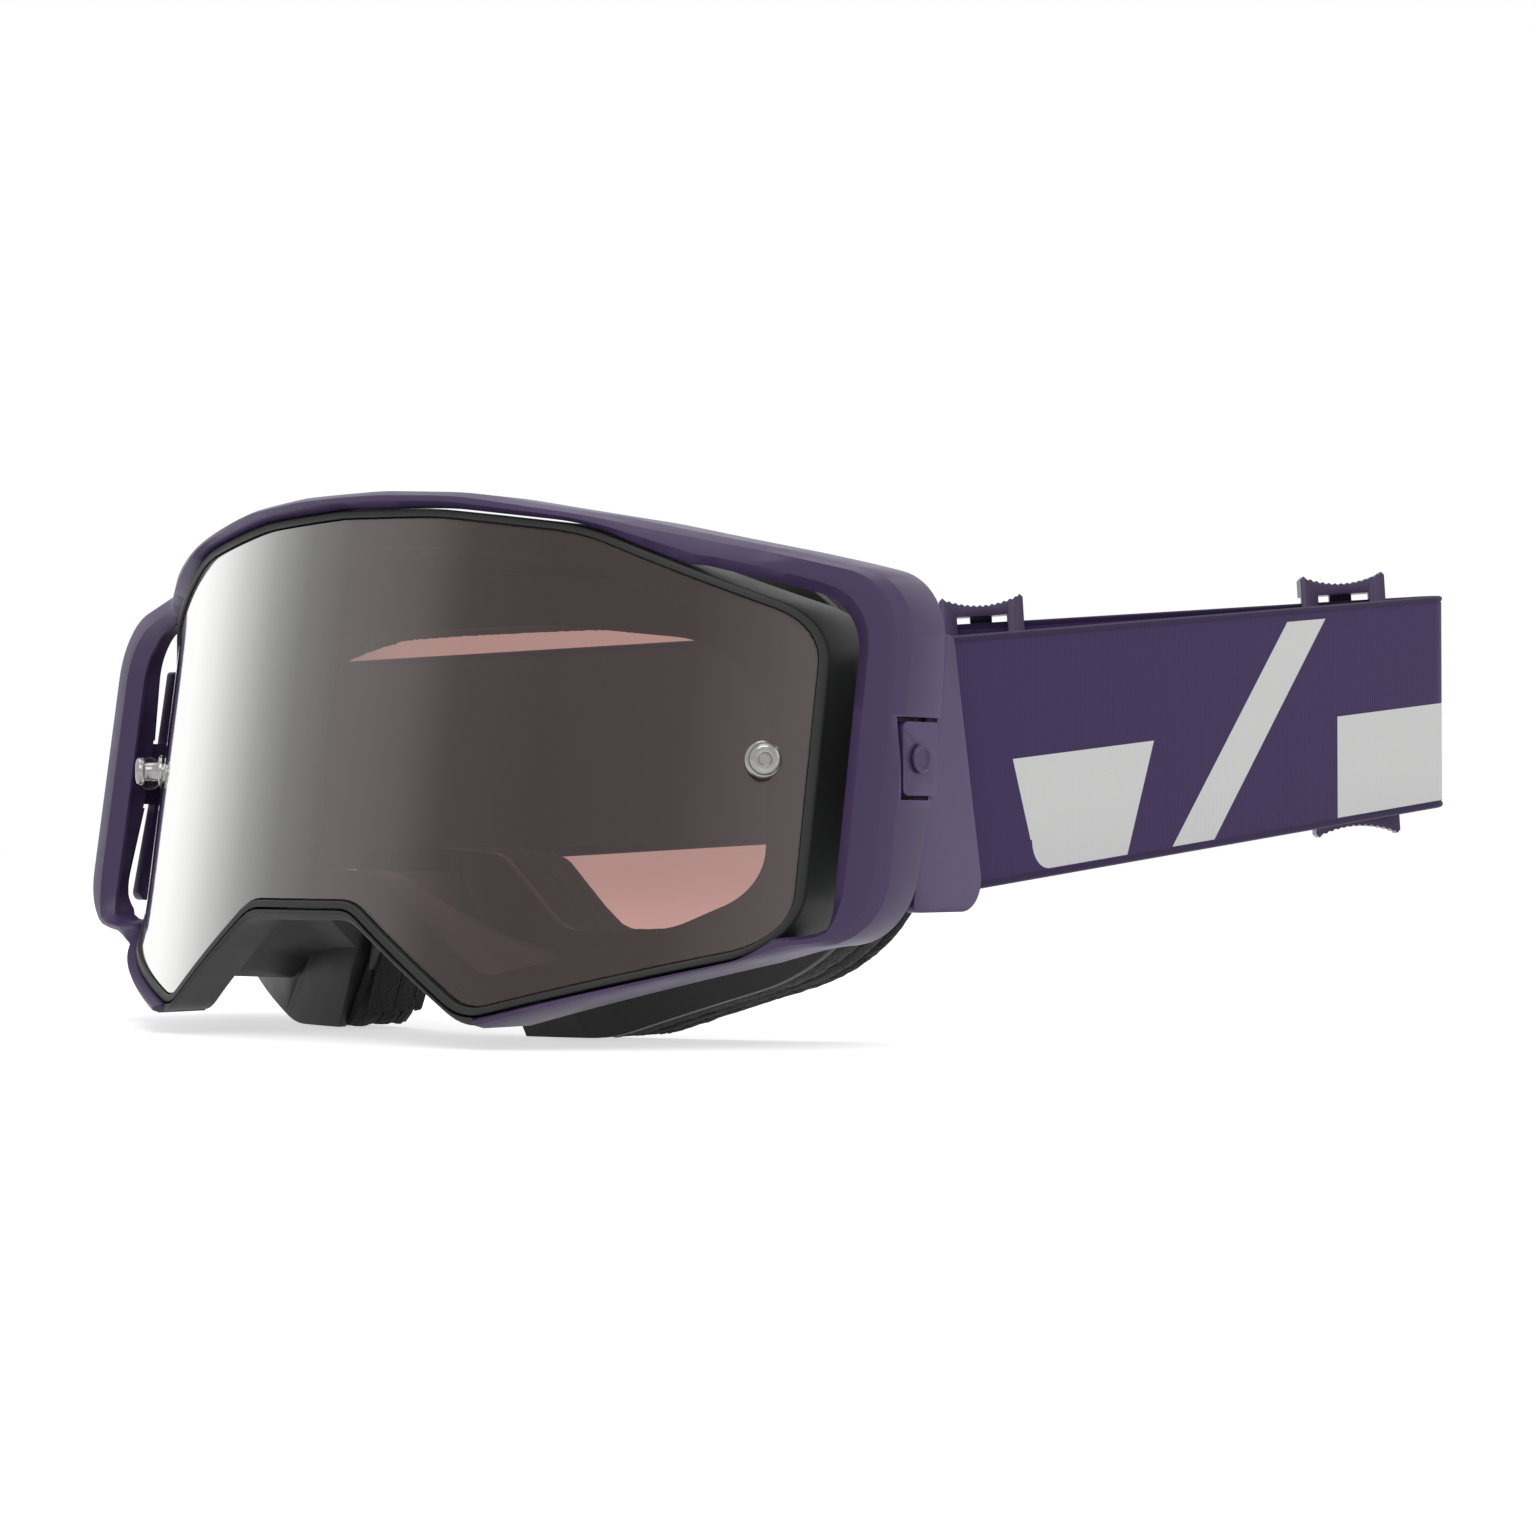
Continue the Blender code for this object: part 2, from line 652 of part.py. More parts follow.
def plate_mesh(name, outline, holes, thickness):
    """Return a flat plate in the YZ plane, centred on its thickness, from a filled curve."""
    curve = bpy.data.curves.new(name, "CURVE")
    curve.dimensions = "2D"
    curve.fill_mode = "BOTH"
    curve.extrude = thickness / 2 * MM
    for loop in [outline] + holes:
        spline = curve.splines.new("POLY")
        spline.points.add(len(loop) - 1)
        for point, (y, z) in zip(spline.points, loop):
            point.co = (y * MM, z * MM, 0.0, 1.0)
        spline.use_cyclic_u = True
    source = bpy.data.objects.new(name + "_curve", curve)
    bpy.context.scene.collection.objects.link(source)
    bpy.context.view_layer.update()
    evaluated = source.evaluated_get(bpy.context.evaluated_depsgraph_get())
    mesh = bpy.data.meshes.new_from_object(evaluated)
    mesh.name = name
    shape = bmesh.new()
    shape.from_mesh(mesh)
    bmesh.ops.remove_doubles(shape, verts=shape.verts, dist=0.00001)
    for corner in shape.verts:
        y, z, x = corner.co
        corner.co = (x, y, z)
    face_outwards(shape)
    shape.to_mesh(mesh)
    shape.free()
    bpy.data.objects.remove(source, do_unlink=True)
    bpy.data.curves.remove(curve)
    return mesh


def circle(centre, radius, count=20):
    """Return points of a circle."""
    turns = np.linspace(0, 2 * math.pi, count, endpoint=False)
    return [(centre[0] + radius * math.cos(turn), centre[1] + radius * math.sin(turn)) for turn in turns]


def outrigger_outline():
    """Side view of the outrigger: a tongue in the strut's pocket and a slanted plate."""
    gap = GAP + 0.1
    corners = [
        (side_edge(PLATE_TOP_Z) + gap + SWING_SETBACK, PLATE_TOP_Z, 0.8),
        (side_edge(TONGUE_HALF) + gap, TONGUE_HALF, 0),
        (TONGUE_FRONT_Y, TONGUE_HALF, 1.2), (TONGUE_FRONT_Y, -TONGUE_HALF, 1.2),
        (side_edge(-TONGUE_HALF) + gap, -TONGUE_HALF, 0),
        (side_edge(PLATE_BOTTOM_Z) + gap + SWING_SETBACK, PLATE_BOTTOM_Z, 1.5),
        (PLATE_REAR_BOTTOM_Y, PLATE_BOTTOM_Z, PLATE_CORNER), (PLATE_REAR_TOP_Y, PLATE_TOP_Z, 1.2)]
    middle = ((corners[-1][0] + corners[0][0]) / 2, PLATE_TOP_Z, 0)
    path = rounded([middle] + corners + [middle], 15.0)[:-1]
    return [tuple(point) for point in path]


def tongue_outline():
    """Side view of the raised pad on the tongue, flush with the strut's outer face."""
    rear = SIDE_BACK_Y - 0.2
    return [tuple(point) for point in rounded([
        (rear, 0, 0), (rear, TONGUE_HALF, 0), (TONGUE_FRONT_Y, TONGUE_HALF, 1.2),
        (TONGUE_FRONT_Y, -TONGUE_HALF, 1.2), (rear, -TONGUE_HALF, 0), (rear, 0, 0)], 15.0)[:-1]]


def add_cutter(name, mesh, tools, root, place=(0, 0, 0)):
    """Add a hidden cutter."""
    cutter = bpy.data.objects.new(name, mesh)
    tools.objects.link(cutter)
    cutter.parent = root
    cutter.location = Vector(place) * MM
    cutter.hide_render = True
    cutter.display_type = "WIRE"
    return cutter


def box_mesh(name, low, high):
    """Return a box between two corners."""
    shape = bmesh.new()
    bmesh.ops.create_cube(shape, size=1.0)
    low, high = Vector(low), Vector(high)
    for corner in shape.verts:
        share = corner.co + Vector((0.5, 0.5, 0.5))
        corner.co = Vector([(low[axis] + share[axis] * (high[axis] - low[axis])) * MM for axis in range(3)])
    mesh = bpy.data.meshes.new(name)
    shape.to_mesh(mesh)
    shape.free()
    return mesh


def build_outrigger(side, label, group, tools, root, frame):
    """Outrigger on its pivot pin, with the pocket and hole that it needs in the strut."""
    outside = FRAME_HALF_WIDTH
    hub = add_empty("outrigger_pivot_" + label, group, root, (side * outside, PIVOT_Y, 0.0))
    bore = circle((PIVOT_Y, 0.0), PIN_RADIUS + GAP)
    flat = plate_mesh("outrigger_" + label, outrigger_outline(), [bore], PLATE_THICK)
    plate = add_object(flat.name, flat, "purple", group, hub)
    plate.location = Vector((-side * (PLATE_STEP + PLATE_THICK / 2), -PIVOT_Y, 0.0)) * MM
    raised = plate_mesh("tongue_pad", tongue_outline(), [bore], PLATE_STEP + 1.0)
    pad = add_cutter("add_tongue_" + label, raised, tools, hub,
                     (-side * (PLATE_STEP + 1.0) / 2, -PIVOT_Y, 0.0))
    boolean(plate, pad, "UNION")

    room = TONGUE_HALF + SWING_ROOM
    floor = side * (outside - POCKET_FLOOR)
    beyond = side * (outside + 2.0)
    pocket = box_mesh("pocket", (min(floor, beyond), TONGUE_FRONT_Y - 2 * GAP, -room),
                      (max(floor, beyond), SIDE_BACK_Y + 10.0, room))
    boolean(frame, add_cutter("cut_pocket_" + label, pocket, tools, root), "DIFFERENCE")
    hole = plate_mesh("pin_hole", circle((0.0, 0.0), PIN_RADIUS + GAP), [], 2 * SIDE_WALL)
    boolean(frame, add_cutter("cut_pin_" + label, hole, tools, root,
                              (side * (outside - SIDE_WALL), PIVOT_Y, 0.0)), "DIFFERENCE")

    tail = SIDE_WALL + 2 * GAP + CLIP_THICK + 0.5
    turned("pivot_pin_" + label, [
        (0, PIN_HEAD + GAP), (PIN_HEAD_RADIUS - 0.5, PIN_HEAD + GAP), (PIN_HEAD_RADIUS, GAP + 0.2),
        (PIN_HEAD_RADIUS, GAP), (PIN_RADIUS, GAP), (PIN_RADIUS, -tail), (0, -tail)],
        "purple", group, root, (side * outside, PIVOT_Y, 0.0), (side, 0, 0))
    clip = plate_mesh("pivot_clip_" + label, circle((0, 0), CLIP_RADIUS),
                      [circle((0, 0), PIN_RADIUS + 0.2)], CLIP_THICK)
    washer = add_object("pivot_clip_" + label, clip, "steel", group, root)
    washer.location = Vector((side * (outside - SIDE_WALL - GAP - CLIP_THICK / 2), PIVOT_Y, 0.0)) * MM
    return hub


# ---------------------------------------------------------------- strap and sliders

def strap_plan():
    """Plan of the strap's middle line, from the left outrigger to the right one."""
    under = FRAME_HALF_WIDTH - PLATE_STEP - PLATE_THICK - GAP - STRAP_THICK / 2
    start = (under, STRAP_START_Y, 0)
    fold = (FOLD_CORNER[0], FOLD_CORNER[1], FOLD_RADIUS)
    bend = (-under, FAR_BEND_Y, FAR_BEND_RADIUS)
    return rounded([start, fold, bend, (-under, STRAP_START_Y, 0)], 16.0)


def strand():
    """Start point and direction, in plan, of the straight strand between fold and bend."""
    plan = strap_plan()
    gaps = np.linalg.norm(np.diff(plan, axis=0), axis=1)
    index = int(np.argsort(gaps)[-1]) if gaps.argmax() != 0 else int(np.argsort(gaps)[-2])
    start, end = plan[index], plan[index + 1]
    return start, (end - start) / np.linalg.norm(end - start), np.linalg.norm(end - start)


def strap_z(y):
    """Height of the strap's middle line."""
    return STRAP_SLOPE * (y - STRAP_LEVEL_Y)


def ribbon(name, plan, height, thickness, shift, colour, group, parent, origin):
    """A flat band of even height along a plan line; shift moves it towards the head."""
    tangent = np.gradient(plan, axis=0)
    tangent /= np.linalg.norm(tangent, axis=1, keepdims=True)
    inward = np.stack([-tangent[:, 1], tangent[:, 0]], 1)
    rows = []
    for lift in (-0.5, 0.5):
        for place in (shift - thickness / 2, shift + thickness / 2):
            line = plan + inward * place
            rows.append(np.stack([line[:, 0], line[:, 1], strap_z(plan[:, 1]) + lift * height], 1))
    rails = [rows[0], rows[1], rows[3], rows[2]]
    rails = [row - np.array(origin) for row in rails]
    return add_object(name, loft(name, rails, True), colour, group, parent)


def build_strap(group, hub_left, hub_right):
    """The webbing loop, its silicone lining and the stitched ends under the outriggers."""
    left = np.array((FRAME_HALF_WIDTH, PIVOT_Y, 0.0))
    right = left * (-1.0, 1.0, 1.0)
    plan = strap_plan()
    ribbon("strap", plan, STRAP_HEIGHT, STRAP_THICK, 0.0, "webbing", group, hub_left, left)
    seat = STRAP_THICK / 2 + GAP
    under = plan[0, 0]
    ends = (("left", under, 1.0, hub_left, left), ("right", -under, -1.0, hub_right, right))
    for label, x, side, hub, origin in ends:
        turn = np.array([(x, STRAP_START_Y), (x, STRAP_START_Y + STITCH_LENGTH)])[::int(side)]
        ribbon("strap_end_" + label, turn, STRAP_HEIGHT - 1.0, STITCH_THICK, seat + STITCH_THICK / 2,
               "webbing", group, hub, origin)
    near = np.array([(under, STRAP_START_Y + STITCH_LENGTH + 2.0), (under, FOLD_CORNER[1] - 28.0)])
    start, along, length = strand()
    last = SLIDER_STATIONS["slider_front"] + SLIDER_TRAVEL + SLIDER_WIDTH / 2 + 2.0
    far = np.array([start + along * last, start + along * (length - 2.0)])
    for name, line in (("silicone_grip_left", near), ("silicone_grip_right", far)):
        ribbon(name, line, GRIP_HEIGHT, GRIP_THICK, seat + GRIP_THICK / 2, "silicone", group, hub_left, left)


def build_sliders(group, tools, hub):
    """Three-bar sliders that ride on the straight strand."""
    start, along, length = strand()
    forward = Vector((along[0], along[1], STRAP_SLOPE * along[1])).normalized()
    outward = Vector((-along[1], along[0], 0.0)).normalized()
    turn = Matrix((forward, outward, forward.cross(outward))).transposed().to_euler()
    for name, station in SLIDER_STATIONS.items():
        place = start + along * station
        slider = slider_object(name, group, tools, hub)
        seat = Vector((place[0], place[1], strap_z(place[1])))
        slider.location = (seat - Vector((FRAME_HALF_WIDTH, PIVOT_Y, 0.0))) * MM
        slider.rotation_euler = turn


def slider_object(name, group, tools, hub):
    """One slider in its own frame: X along the strap, Y towards its outer side.

    Two rails pass above and below the strap, two end plates lie outside it and a bar inside it.
    """
    half = SLIDER_WIDTH / 2
    tall = STRAP_HEIGHT / 2 + SLIDER_RAIL
    edge = STRAP_HEIGHT / 2 + SLIDER_ROOM
    near = STRAP_THICK / 2 + GAP
    far = near + SLIDER_PLATE
    bar = SLIDER_BAR / 2
    lower_rail = ((-half, -far, -tall), (half, far, -edge))
    end_plates = [((-half, near, -tall), (-half + SLIDER_SIDE_BAR, far, tall)),
                  ((half - SLIDER_SIDE_BAR, near, -tall), (half, far, tall))]
    inner_bar = ((-bar, -far, -tall), (bar, -near, tall))
    mesh = box_mesh(name, (-half, -far, edge), (half, far, tall))
    slider = add_object(name, mesh, "purple", group, hub)
    for index, (low, high) in enumerate([lower_rail] + end_plates + [inner_bar]):
        bar_mesh = box_mesh("bar", low, high)
        boolean(slider, add_cutter(name + "_bar_" + str(index), bar_mesh, tools, slider), "UNION")
    return slider


def settle(root):
    """Move the root so that the middle of the underside is the world origin."""
    bpy.context.view_layer.update()
    graph = bpy.context.evaluated_depsgraph_get()
    low = Vector((1e9, 1e9, 1e9))
    high = -low
    for thing in bpy.data.objects:
        if thing.type != "MESH" or thing.hide_render:
            continue
        evaluated = thing.evaluated_get(graph)
        for corner in evaluated.bound_box:
            point = evaluated.matrix_world @ Vector(corner)
            low = Vector(map(min, low, point))
            high = Vector(map(max, high, point))
    root.location = -Vector(((low.x + high.x) / 2, (low.y + high.y) / 2, low.z))


def main():
    """Build every piece."""
    clear_scene()
    group = make_collection("motocross_goggles")
    tools = make_collection("cutters")
    root = add_empty("goggles_root", group, None, (0, 0, 0))
    lens = build_lens(group, root)
    build_lens_frame(group, root)
    frame = build_outer_frame(group, root)
    build_nose_bridge(group, root)
    build_flange(group, tools, root)
    build_foam(group, root)
    hubs = []
    for side, label in ((1, "left"), (-1, "right")):
        build_post(side, label, group, tools, root, lens)
        hubs.append(build_outrigger(side, label, group, tools, root, frame))
    build_strap(group, *hubs)
    build_sliders(group, tools, hubs[0])
    settle(root)


main()
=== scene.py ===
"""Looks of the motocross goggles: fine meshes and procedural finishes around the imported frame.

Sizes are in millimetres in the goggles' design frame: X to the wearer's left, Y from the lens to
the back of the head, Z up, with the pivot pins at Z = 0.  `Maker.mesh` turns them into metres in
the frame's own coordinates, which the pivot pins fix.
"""
from __future__ import annotations

import logging
import math
from dataclasses import dataclass
from enum import Enum
from typing import Callable, Sequence

import bmesh
import bpy
import numpy as np
from mathutils import Matrix, Vector


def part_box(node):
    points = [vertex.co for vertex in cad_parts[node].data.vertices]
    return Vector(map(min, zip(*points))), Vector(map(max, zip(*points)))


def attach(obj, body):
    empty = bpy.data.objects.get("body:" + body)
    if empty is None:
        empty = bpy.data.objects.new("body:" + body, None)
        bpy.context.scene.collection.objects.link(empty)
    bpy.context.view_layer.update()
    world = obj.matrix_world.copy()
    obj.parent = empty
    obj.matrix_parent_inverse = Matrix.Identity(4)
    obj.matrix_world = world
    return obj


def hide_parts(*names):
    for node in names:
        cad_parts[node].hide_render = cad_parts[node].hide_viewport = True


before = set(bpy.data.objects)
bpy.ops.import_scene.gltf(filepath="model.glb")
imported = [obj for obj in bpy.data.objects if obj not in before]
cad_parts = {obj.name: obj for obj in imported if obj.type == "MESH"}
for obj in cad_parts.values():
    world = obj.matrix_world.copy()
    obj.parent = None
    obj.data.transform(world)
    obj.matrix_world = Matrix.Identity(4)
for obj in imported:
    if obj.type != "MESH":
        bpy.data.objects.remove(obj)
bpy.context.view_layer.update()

LOG = logging.getLogger("goggles")
MM = 0.001
MERGE = 0.00002
Depth = Callable[[np.ndarray, np.ndarray], np.ndarray]
Outline = np.ndarray


# ---------------------------------------------------------------- sizes

@dataclass(frozen=True)
class LensSizes:
    """Sizes of the cylindrical lens."""

    radius: float = 102.0
    lean: float = 0.16
    apex: float = 3.5
    thick: float = 1.0
    top: float = 39.4
    half_width: float = 75.2
    side_bottom: float = -27.4
    peak: tuple[float, float] = (34.5, -38.3)
    notch: tuple[float, float] = (12.0, -21.6)
    pole: float = 5.0


@dataclass(frozen=True)
class FrameSizes:
    """Sizes of the inner frame, the outer frame and the nose bridge."""

    gap: float = 0.3
    lip: float = 1.2
    lip_proud: float = 0.7
    seat: float = 4.5
    inner_depth: float = 8.0
    half_width: float = 92.3
    top: float = 43.6
    rim: float = 3.6
    strut_x: float = 83.8
    strut_y: float = 33.0
    strut_slope: float = 0.30
    proud: float = 2.8
    bevel: float = 2.4
    web: tuple[float, float] = (5.6, 3.0)
    depth: float = 12.0
    wall: tuple[float, float] = (1.7, 4.6)
    lip_thick: tuple[float, float] = (1.0, 0.7)
    lip_depth: tuple[float, float] = (0.8, 3.6)
    side_back: float = 46.7
    end_angle: float = -50.5
    bridge: float = 1.6


@dataclass(frozen=True)
class FaceSizes:
    """Sizes of the flange and the foam."""

    radius: float = 118.0
    apex: float = 31.0
    lean: float = 0.05
    wall: float = 1.8
    gap: float = 0.42
    pad: float = 1.6
    layers: tuple[float, float, float] = (6.0, 4.0, 2.5)
    vent: tuple[float, float] = (52.0, 78.0)
    vent_depths: tuple[float, float] = (0.25, 0.75)
    vent_foam: float = 1.2


@dataclass(frozen=True)
class PivotSizes:
    """Sizes of the outriggers and their pins."""

    y: float = 42.0
    pin: float = 1.3
    head: float = 2.2
    head_tall: float = 0.5
    clip: float = 3.0
    clip_thick: float = 0.9
    plate: float = 2.0
    step: float = 1.0
    tongue: float = 5.6
    tongue_front: float = 38.0
    room: float = 0.7
    setback: float = 1.0
    top_z: float = 19.2
    bottom_z: float = -23.4
    rear_top: float = 52.0
    rear_bottom: float = 60.0
    corner: float = 5.0


@dataclass(frozen=True)
class StrapSizes:
    """Sizes of the strap and its sliders."""

    height: float = 40.0
    thick: float = 1.7
    slope: float = 0.095
    level_y: float = 62.0
    start_y: float = 49.5
    fold: tuple[float, float, float] = (88.0, 219.7, 6.0)
    bend: tuple[float, float] = (75.0, 16.0)
    hem: float = 1.1
    slider_width: float = 16.0
    slider_rail: float = 5.0
    slider_plate: float = 1.5
    slider_bar: float = 4.2
    slider_side: float = 3.2
    slider_room: float = 1.2
    stations: tuple[tuple[str, float], ...] = (("slider_rear", 10.0), ("slider_front", 79.0))


LENS = LensSizes()
FRAME = FrameSizes()
FACE = FaceSizes()
PIVOT = PivotSizes()
STRAP = StrapSizes()


class Slot(Enum):
    """Material slots of the record."""

    PURPLE = "purple"
    BLACK = "black"
    LENS = "lens"
    FOAM = "foam"
    FLEECE = "fleece"
    WEBBING = "webbing"
    SILICONE = "silicone"
    CLEAR = "clear"
    STEEL = "steel"


# ---------------------------------------------------------------- shader maths

class Socket:
    """A shader value that takes plain arithmetic."""

    def __init__(self, graph: "Graph", socket: bpy.types.NodeSocket) -> None:
        self.graph = graph
        self.socket = socket

    def __add__(self, other: "Value") -> "Socket":
        return self.graph.maths("ADD", self, other)

    def __sub__(self, other: "Value") -> "Socket":
        return self.graph.maths("SUBTRACT", self, other)

    def __mul__(self, other: "Value") -> "Socket":
        return self.graph.maths("MULTIPLY", self, other)

    def __gt__(self, other: "Value") -> "Socket":
        return self.graph.maths("GREATER_THAN", self, other)

    def __lt__(self, other: "Value") -> "Socket":
        return self.graph.maths("LESS_THAN", self, other)

    def wave(self) -> "Socket":
        """Return the sine of the value."""
        return self.graph.maths("SINE", self)

    def size(self) -> "Socket":
        """Return the value without its sign."""
        return self.graph.maths("ABSOLUTE", self)


Value = Socket | float


class Graph:
    """A material's node tree, with short ways to add nodes."""

    def __init__(self, name: str) -> None:
        self.material = bpy.data.materials.new(name)
        self.material.use_nodes = True
        self.tree = self.material.node_tree
        self.shader = self.tree.nodes["Principled BSDF"]
        self.output = self.tree.nodes["Material Output"]

    def node(self, kind: str, result: str | int = 0, settings: dict | None = None, **inputs: object) -> Socket:
        """Add one node.

        Args:
            kind: The node's type without the ShaderNode prefix.
            result: Name or index of the output to return.
            settings: Properties of the node itself.
            inputs: Input values or sockets, by name with _ for a space.

        Returns:
            The chosen output, wrapped.
        """
        item = self.tree.nodes.new("ShaderNode" + kind)
        for key, value in (settings or {}).items():
            setattr(item, key, value)
        for key, value in inputs.items():
            self.feed(item.inputs[key.replace("_", " ")], value)
        return Socket(self, item.outputs[result])

    def feed(self, target: bpy.types.NodeSocket, value: object) -> None:
        """Link a socket or set a plain value."""
        if isinstance(value, Socket):
            self.tree.links.new(value.socket, target)
        else:
            target.default_value = value

    def maths(self, operation: str, first: Value, second: Value = 0.0, third: Value = 0.0) -> Socket:
        """Add a Math node."""
        item = self.tree.nodes.new("ShaderNodeMath")
        item.operation = operation
        for target, value in zip(item.inputs, (first, second, third)):
            self.feed(target, value)
        return Socket(self, item.outputs[0])

    def split(self, vector: Socket) -> tuple[Socket, Socket, Socket]:
        """Return the three parts of a vector."""
        item = self.tree.nodes.new("ShaderNodeSeparateXYZ")
        self.feed(item.inputs[0], vector)
        return tuple(Socket(self, output) for output in item.outputs)

    def place(self) -> Socket:
        """Return the object coordinates, in metres."""
        return self.node("TexCoord", "Object")

    def noise(self, scale: float, detail: float = 3.0, vector: Socket | None = None) -> Socket:
        """Return noise of a size, in features per metre."""
        return self.node("TexNoise", "Fac", Vector=vector or self.place(), Scale=scale, Detail=detail)

    def ramp(self, value: Socket, stops: Sequence[tuple[float, tuple[float, float, float]]]) -> Socket:
        """Return a colour ramp.

        Args:
            value: The driver, from 0 to 1.
            stops: Places and linear colours.
        """
        item = self.tree.nodes.new("ShaderNodeValToRGB")
        self.feed(item.inputs[0], value)
        band = item.color_ramp.elements
        while len(band) < len(stops):
            band.new(0.5)
        for element, (place, colour) in zip(band, stops):
            element.position = place
            element.color = (*colour, 1.0)
        return Socket(self, item.outputs[0])

    def blend(self, factor: Value, first: object, second: object) -> Socket:
        """Mix two colours."""
        item = self.tree.nodes.new("ShaderNodeMix")
        item.data_type = "RGBA"
        self.feed(item.inputs["Factor"], factor)
        for target, value in zip([i for i in item.inputs if i.type == "RGBA"], (first, second)):
            self.feed(target, (*value, 1.0) if isinstance(value, tuple) and len(value) == 3 else value)
        return Socket(self, [o for o in item.outputs if o.type == "RGBA"][0])

    def bump(self, height: Socket, distance: float, strength: float = 1.0) -> Socket:
        """Return a bumped normal; distance is in millimetres."""
        return self.node("Bump", "Normal", Height=height, Distance=distance * MM, Strength=strength)

    def surface(self, **inputs: object) -> bpy.types.Material:
        """Set the Principled shader's inputs and return the material."""
        for key, value in inputs.items():
            if isinstance(value, tuple) and len(value) == 3:
                value = (*value, 1.0)
            self.feed(self.shader.inputs[key.replace("_", " ")], value)
        return self.material


# ---------------------------------------------------------------- finishes

@dataclass(frozen=True)
class Plastic:
    """Moulded plastic with a fine grain, slight mottling and painted highlights on its convex edges."""

    name: str
    colour: tuple[float, float, float]
    rough: float = 0.42
    grain: float = 0.03
    coat: float = 0.0

    def build(self) -> bpy.types.Material:
        """Return the material."""
        graph = Graph(self.name)
        mottle = graph.noise(90.0, 4.0)
        lighter = tuple(min(1.0, part * 1.28 + 0.002) for part in self.colour)
        # Painted highlight: convex edges, found by pointiness, are lightened towards a paler copy of the colour to
        # stand in for the light they catch.
        edge = graph.node("NewGeometry", "Pointiness")
        painted_edge_highlight = graph.node("MapRange", 0, Value=edge, From_Min=0.53, From_Max=0.62, To_Min=0.0, To_Max=0.5)
        base = graph.blend(mottle * 0.6, self.colour, lighter)
        pale = tuple(min(1.0, part * 1.9 + 0.01) for part in self.colour)
        colour = graph.blend(painted_edge_highlight, base, pale)
        fine = graph.noise(2600.0, 2.0)
        rough = graph.node("MapRange", 0, Value=graph.noise(240.0), To_Min=self.rough - 0.06, To_Max=self.rough + 0.08)
        return graph.surface(Base_Color=colour, Roughness=rough, Coat_Weight=self.coat, Coat_Roughness=0.2,
                             Specular_IOR_Level=0.35,
                             Normal=graph.bump(fine, self.grain, 0.35))


@dataclass(frozen=True)
class MirrorLens:
    """Tinted lens whose mirror coating fades from silver at one side to a thin smoke at the other; the fade is partly
    a real gradient coating and partly painted reflection.

    Each stop holds the distance across the lens in millimetres, how much of the surface is mirror and how bright that
    mirror is; that brightness is partly painted reflection of the studio.
    """

    name: str = "lens_mirror"
    tint: tuple[float, float, float] = (0.72, 0.53, 0.50)
    stops: tuple[tuple[float, float, float], ...] = (
        (-44.0, 1.0, 0.98), (-35.0, 1.0, 0.80), (-27.0, 1.0, 0.57), (-17.0, 1.0, 0.335), (-7.0, 0.72, 0.265),
        (2.5, 0.42, 0.30), (13.0, 0.27, 0.37), (19.0, 0.22, 0.38), (27.0, 0.17, 0.29), (41.0, 0.15, 0.27),
        (60.0, 0.15, 0.29), (74.0, 0.18, 0.42))

    def build(self) -> bpy.types.Material:
        """Return the material: a metallic coat mixed over a tinted transparent body."""
        graph = Graph(self.name)
        across = graph.split(graph.place())[0]
        waver = (graph.noise(12.0, 1.0) - 0.5) * 0.015
        place = across * (0.5 / (LENS.half_width * MM)) + 0.5 + waver
        spots = [(0.5 + 0.5 * x / LENS.half_width, share, bright) for x, share, bright in self.stops]
        # Painted reflection: the coat's brightness falls from silver to dark by position across the lens, standing
        # partly for the coating's real fade and partly for the studio reflected in it.
        coat = graph.ramp(place, [(x, (bright, bright, bright * 0.99)) for x, _, bright in spots])
        share = graph.ramp(place, [(x, (mirror, mirror, mirror)) for x, mirror, _ in spots])
        rough = graph.node("MapRange", 0, Value=graph.noise(60.0), To_Min=0.05, To_Max=0.09)
        graph.surface(Base_Color=coat, Metallic=1.0, Roughness=rough)
        body = graph.node("BsdfTransparent", 0, Color=(*self.tint, 1.0))
        mix = graph.tree.nodes.new("ShaderNodeMixShader")
        graph.feed(mix.inputs[0], share)
        graph.feed(mix.inputs[1], body)
        graph.tree.links.new(graph.shader.outputs[0], mix.inputs[2])
        graph.tree.links.new(mix.outputs[0], graph.output.inputs["Surface"])
        return graph.material


@dataclass(frozen=True)
class Foam:
    """Open-cell foam or brushed fleece."""

    name: str
    colour: tuple[float, float, float]
    cell: float
    depth: float
    sheen: float

    def build(self) -> bpy.types.Material:
        """Return the material."""
        graph = Graph(self.name)
        cells = graph.node("TexVoronoi", "Distance", Vector=graph.place(), Scale=1000.0 / self.cell)
        fuzz = graph.noise(1500.0, 5.0)
        pale = tuple(part * 2.1 + 0.004 for part in self.colour)
        colour = graph.blend(fuzz * 0.8, self.colour, pale)
        return graph.surface(Base_Color=colour, Roughness=0.97, Sheen_Weight=self.sheen, Sheen_Roughness=0.5,
                             Normal=graph.bump(cells * 0.6 + fuzz * 0.6, self.depth, 0.8))


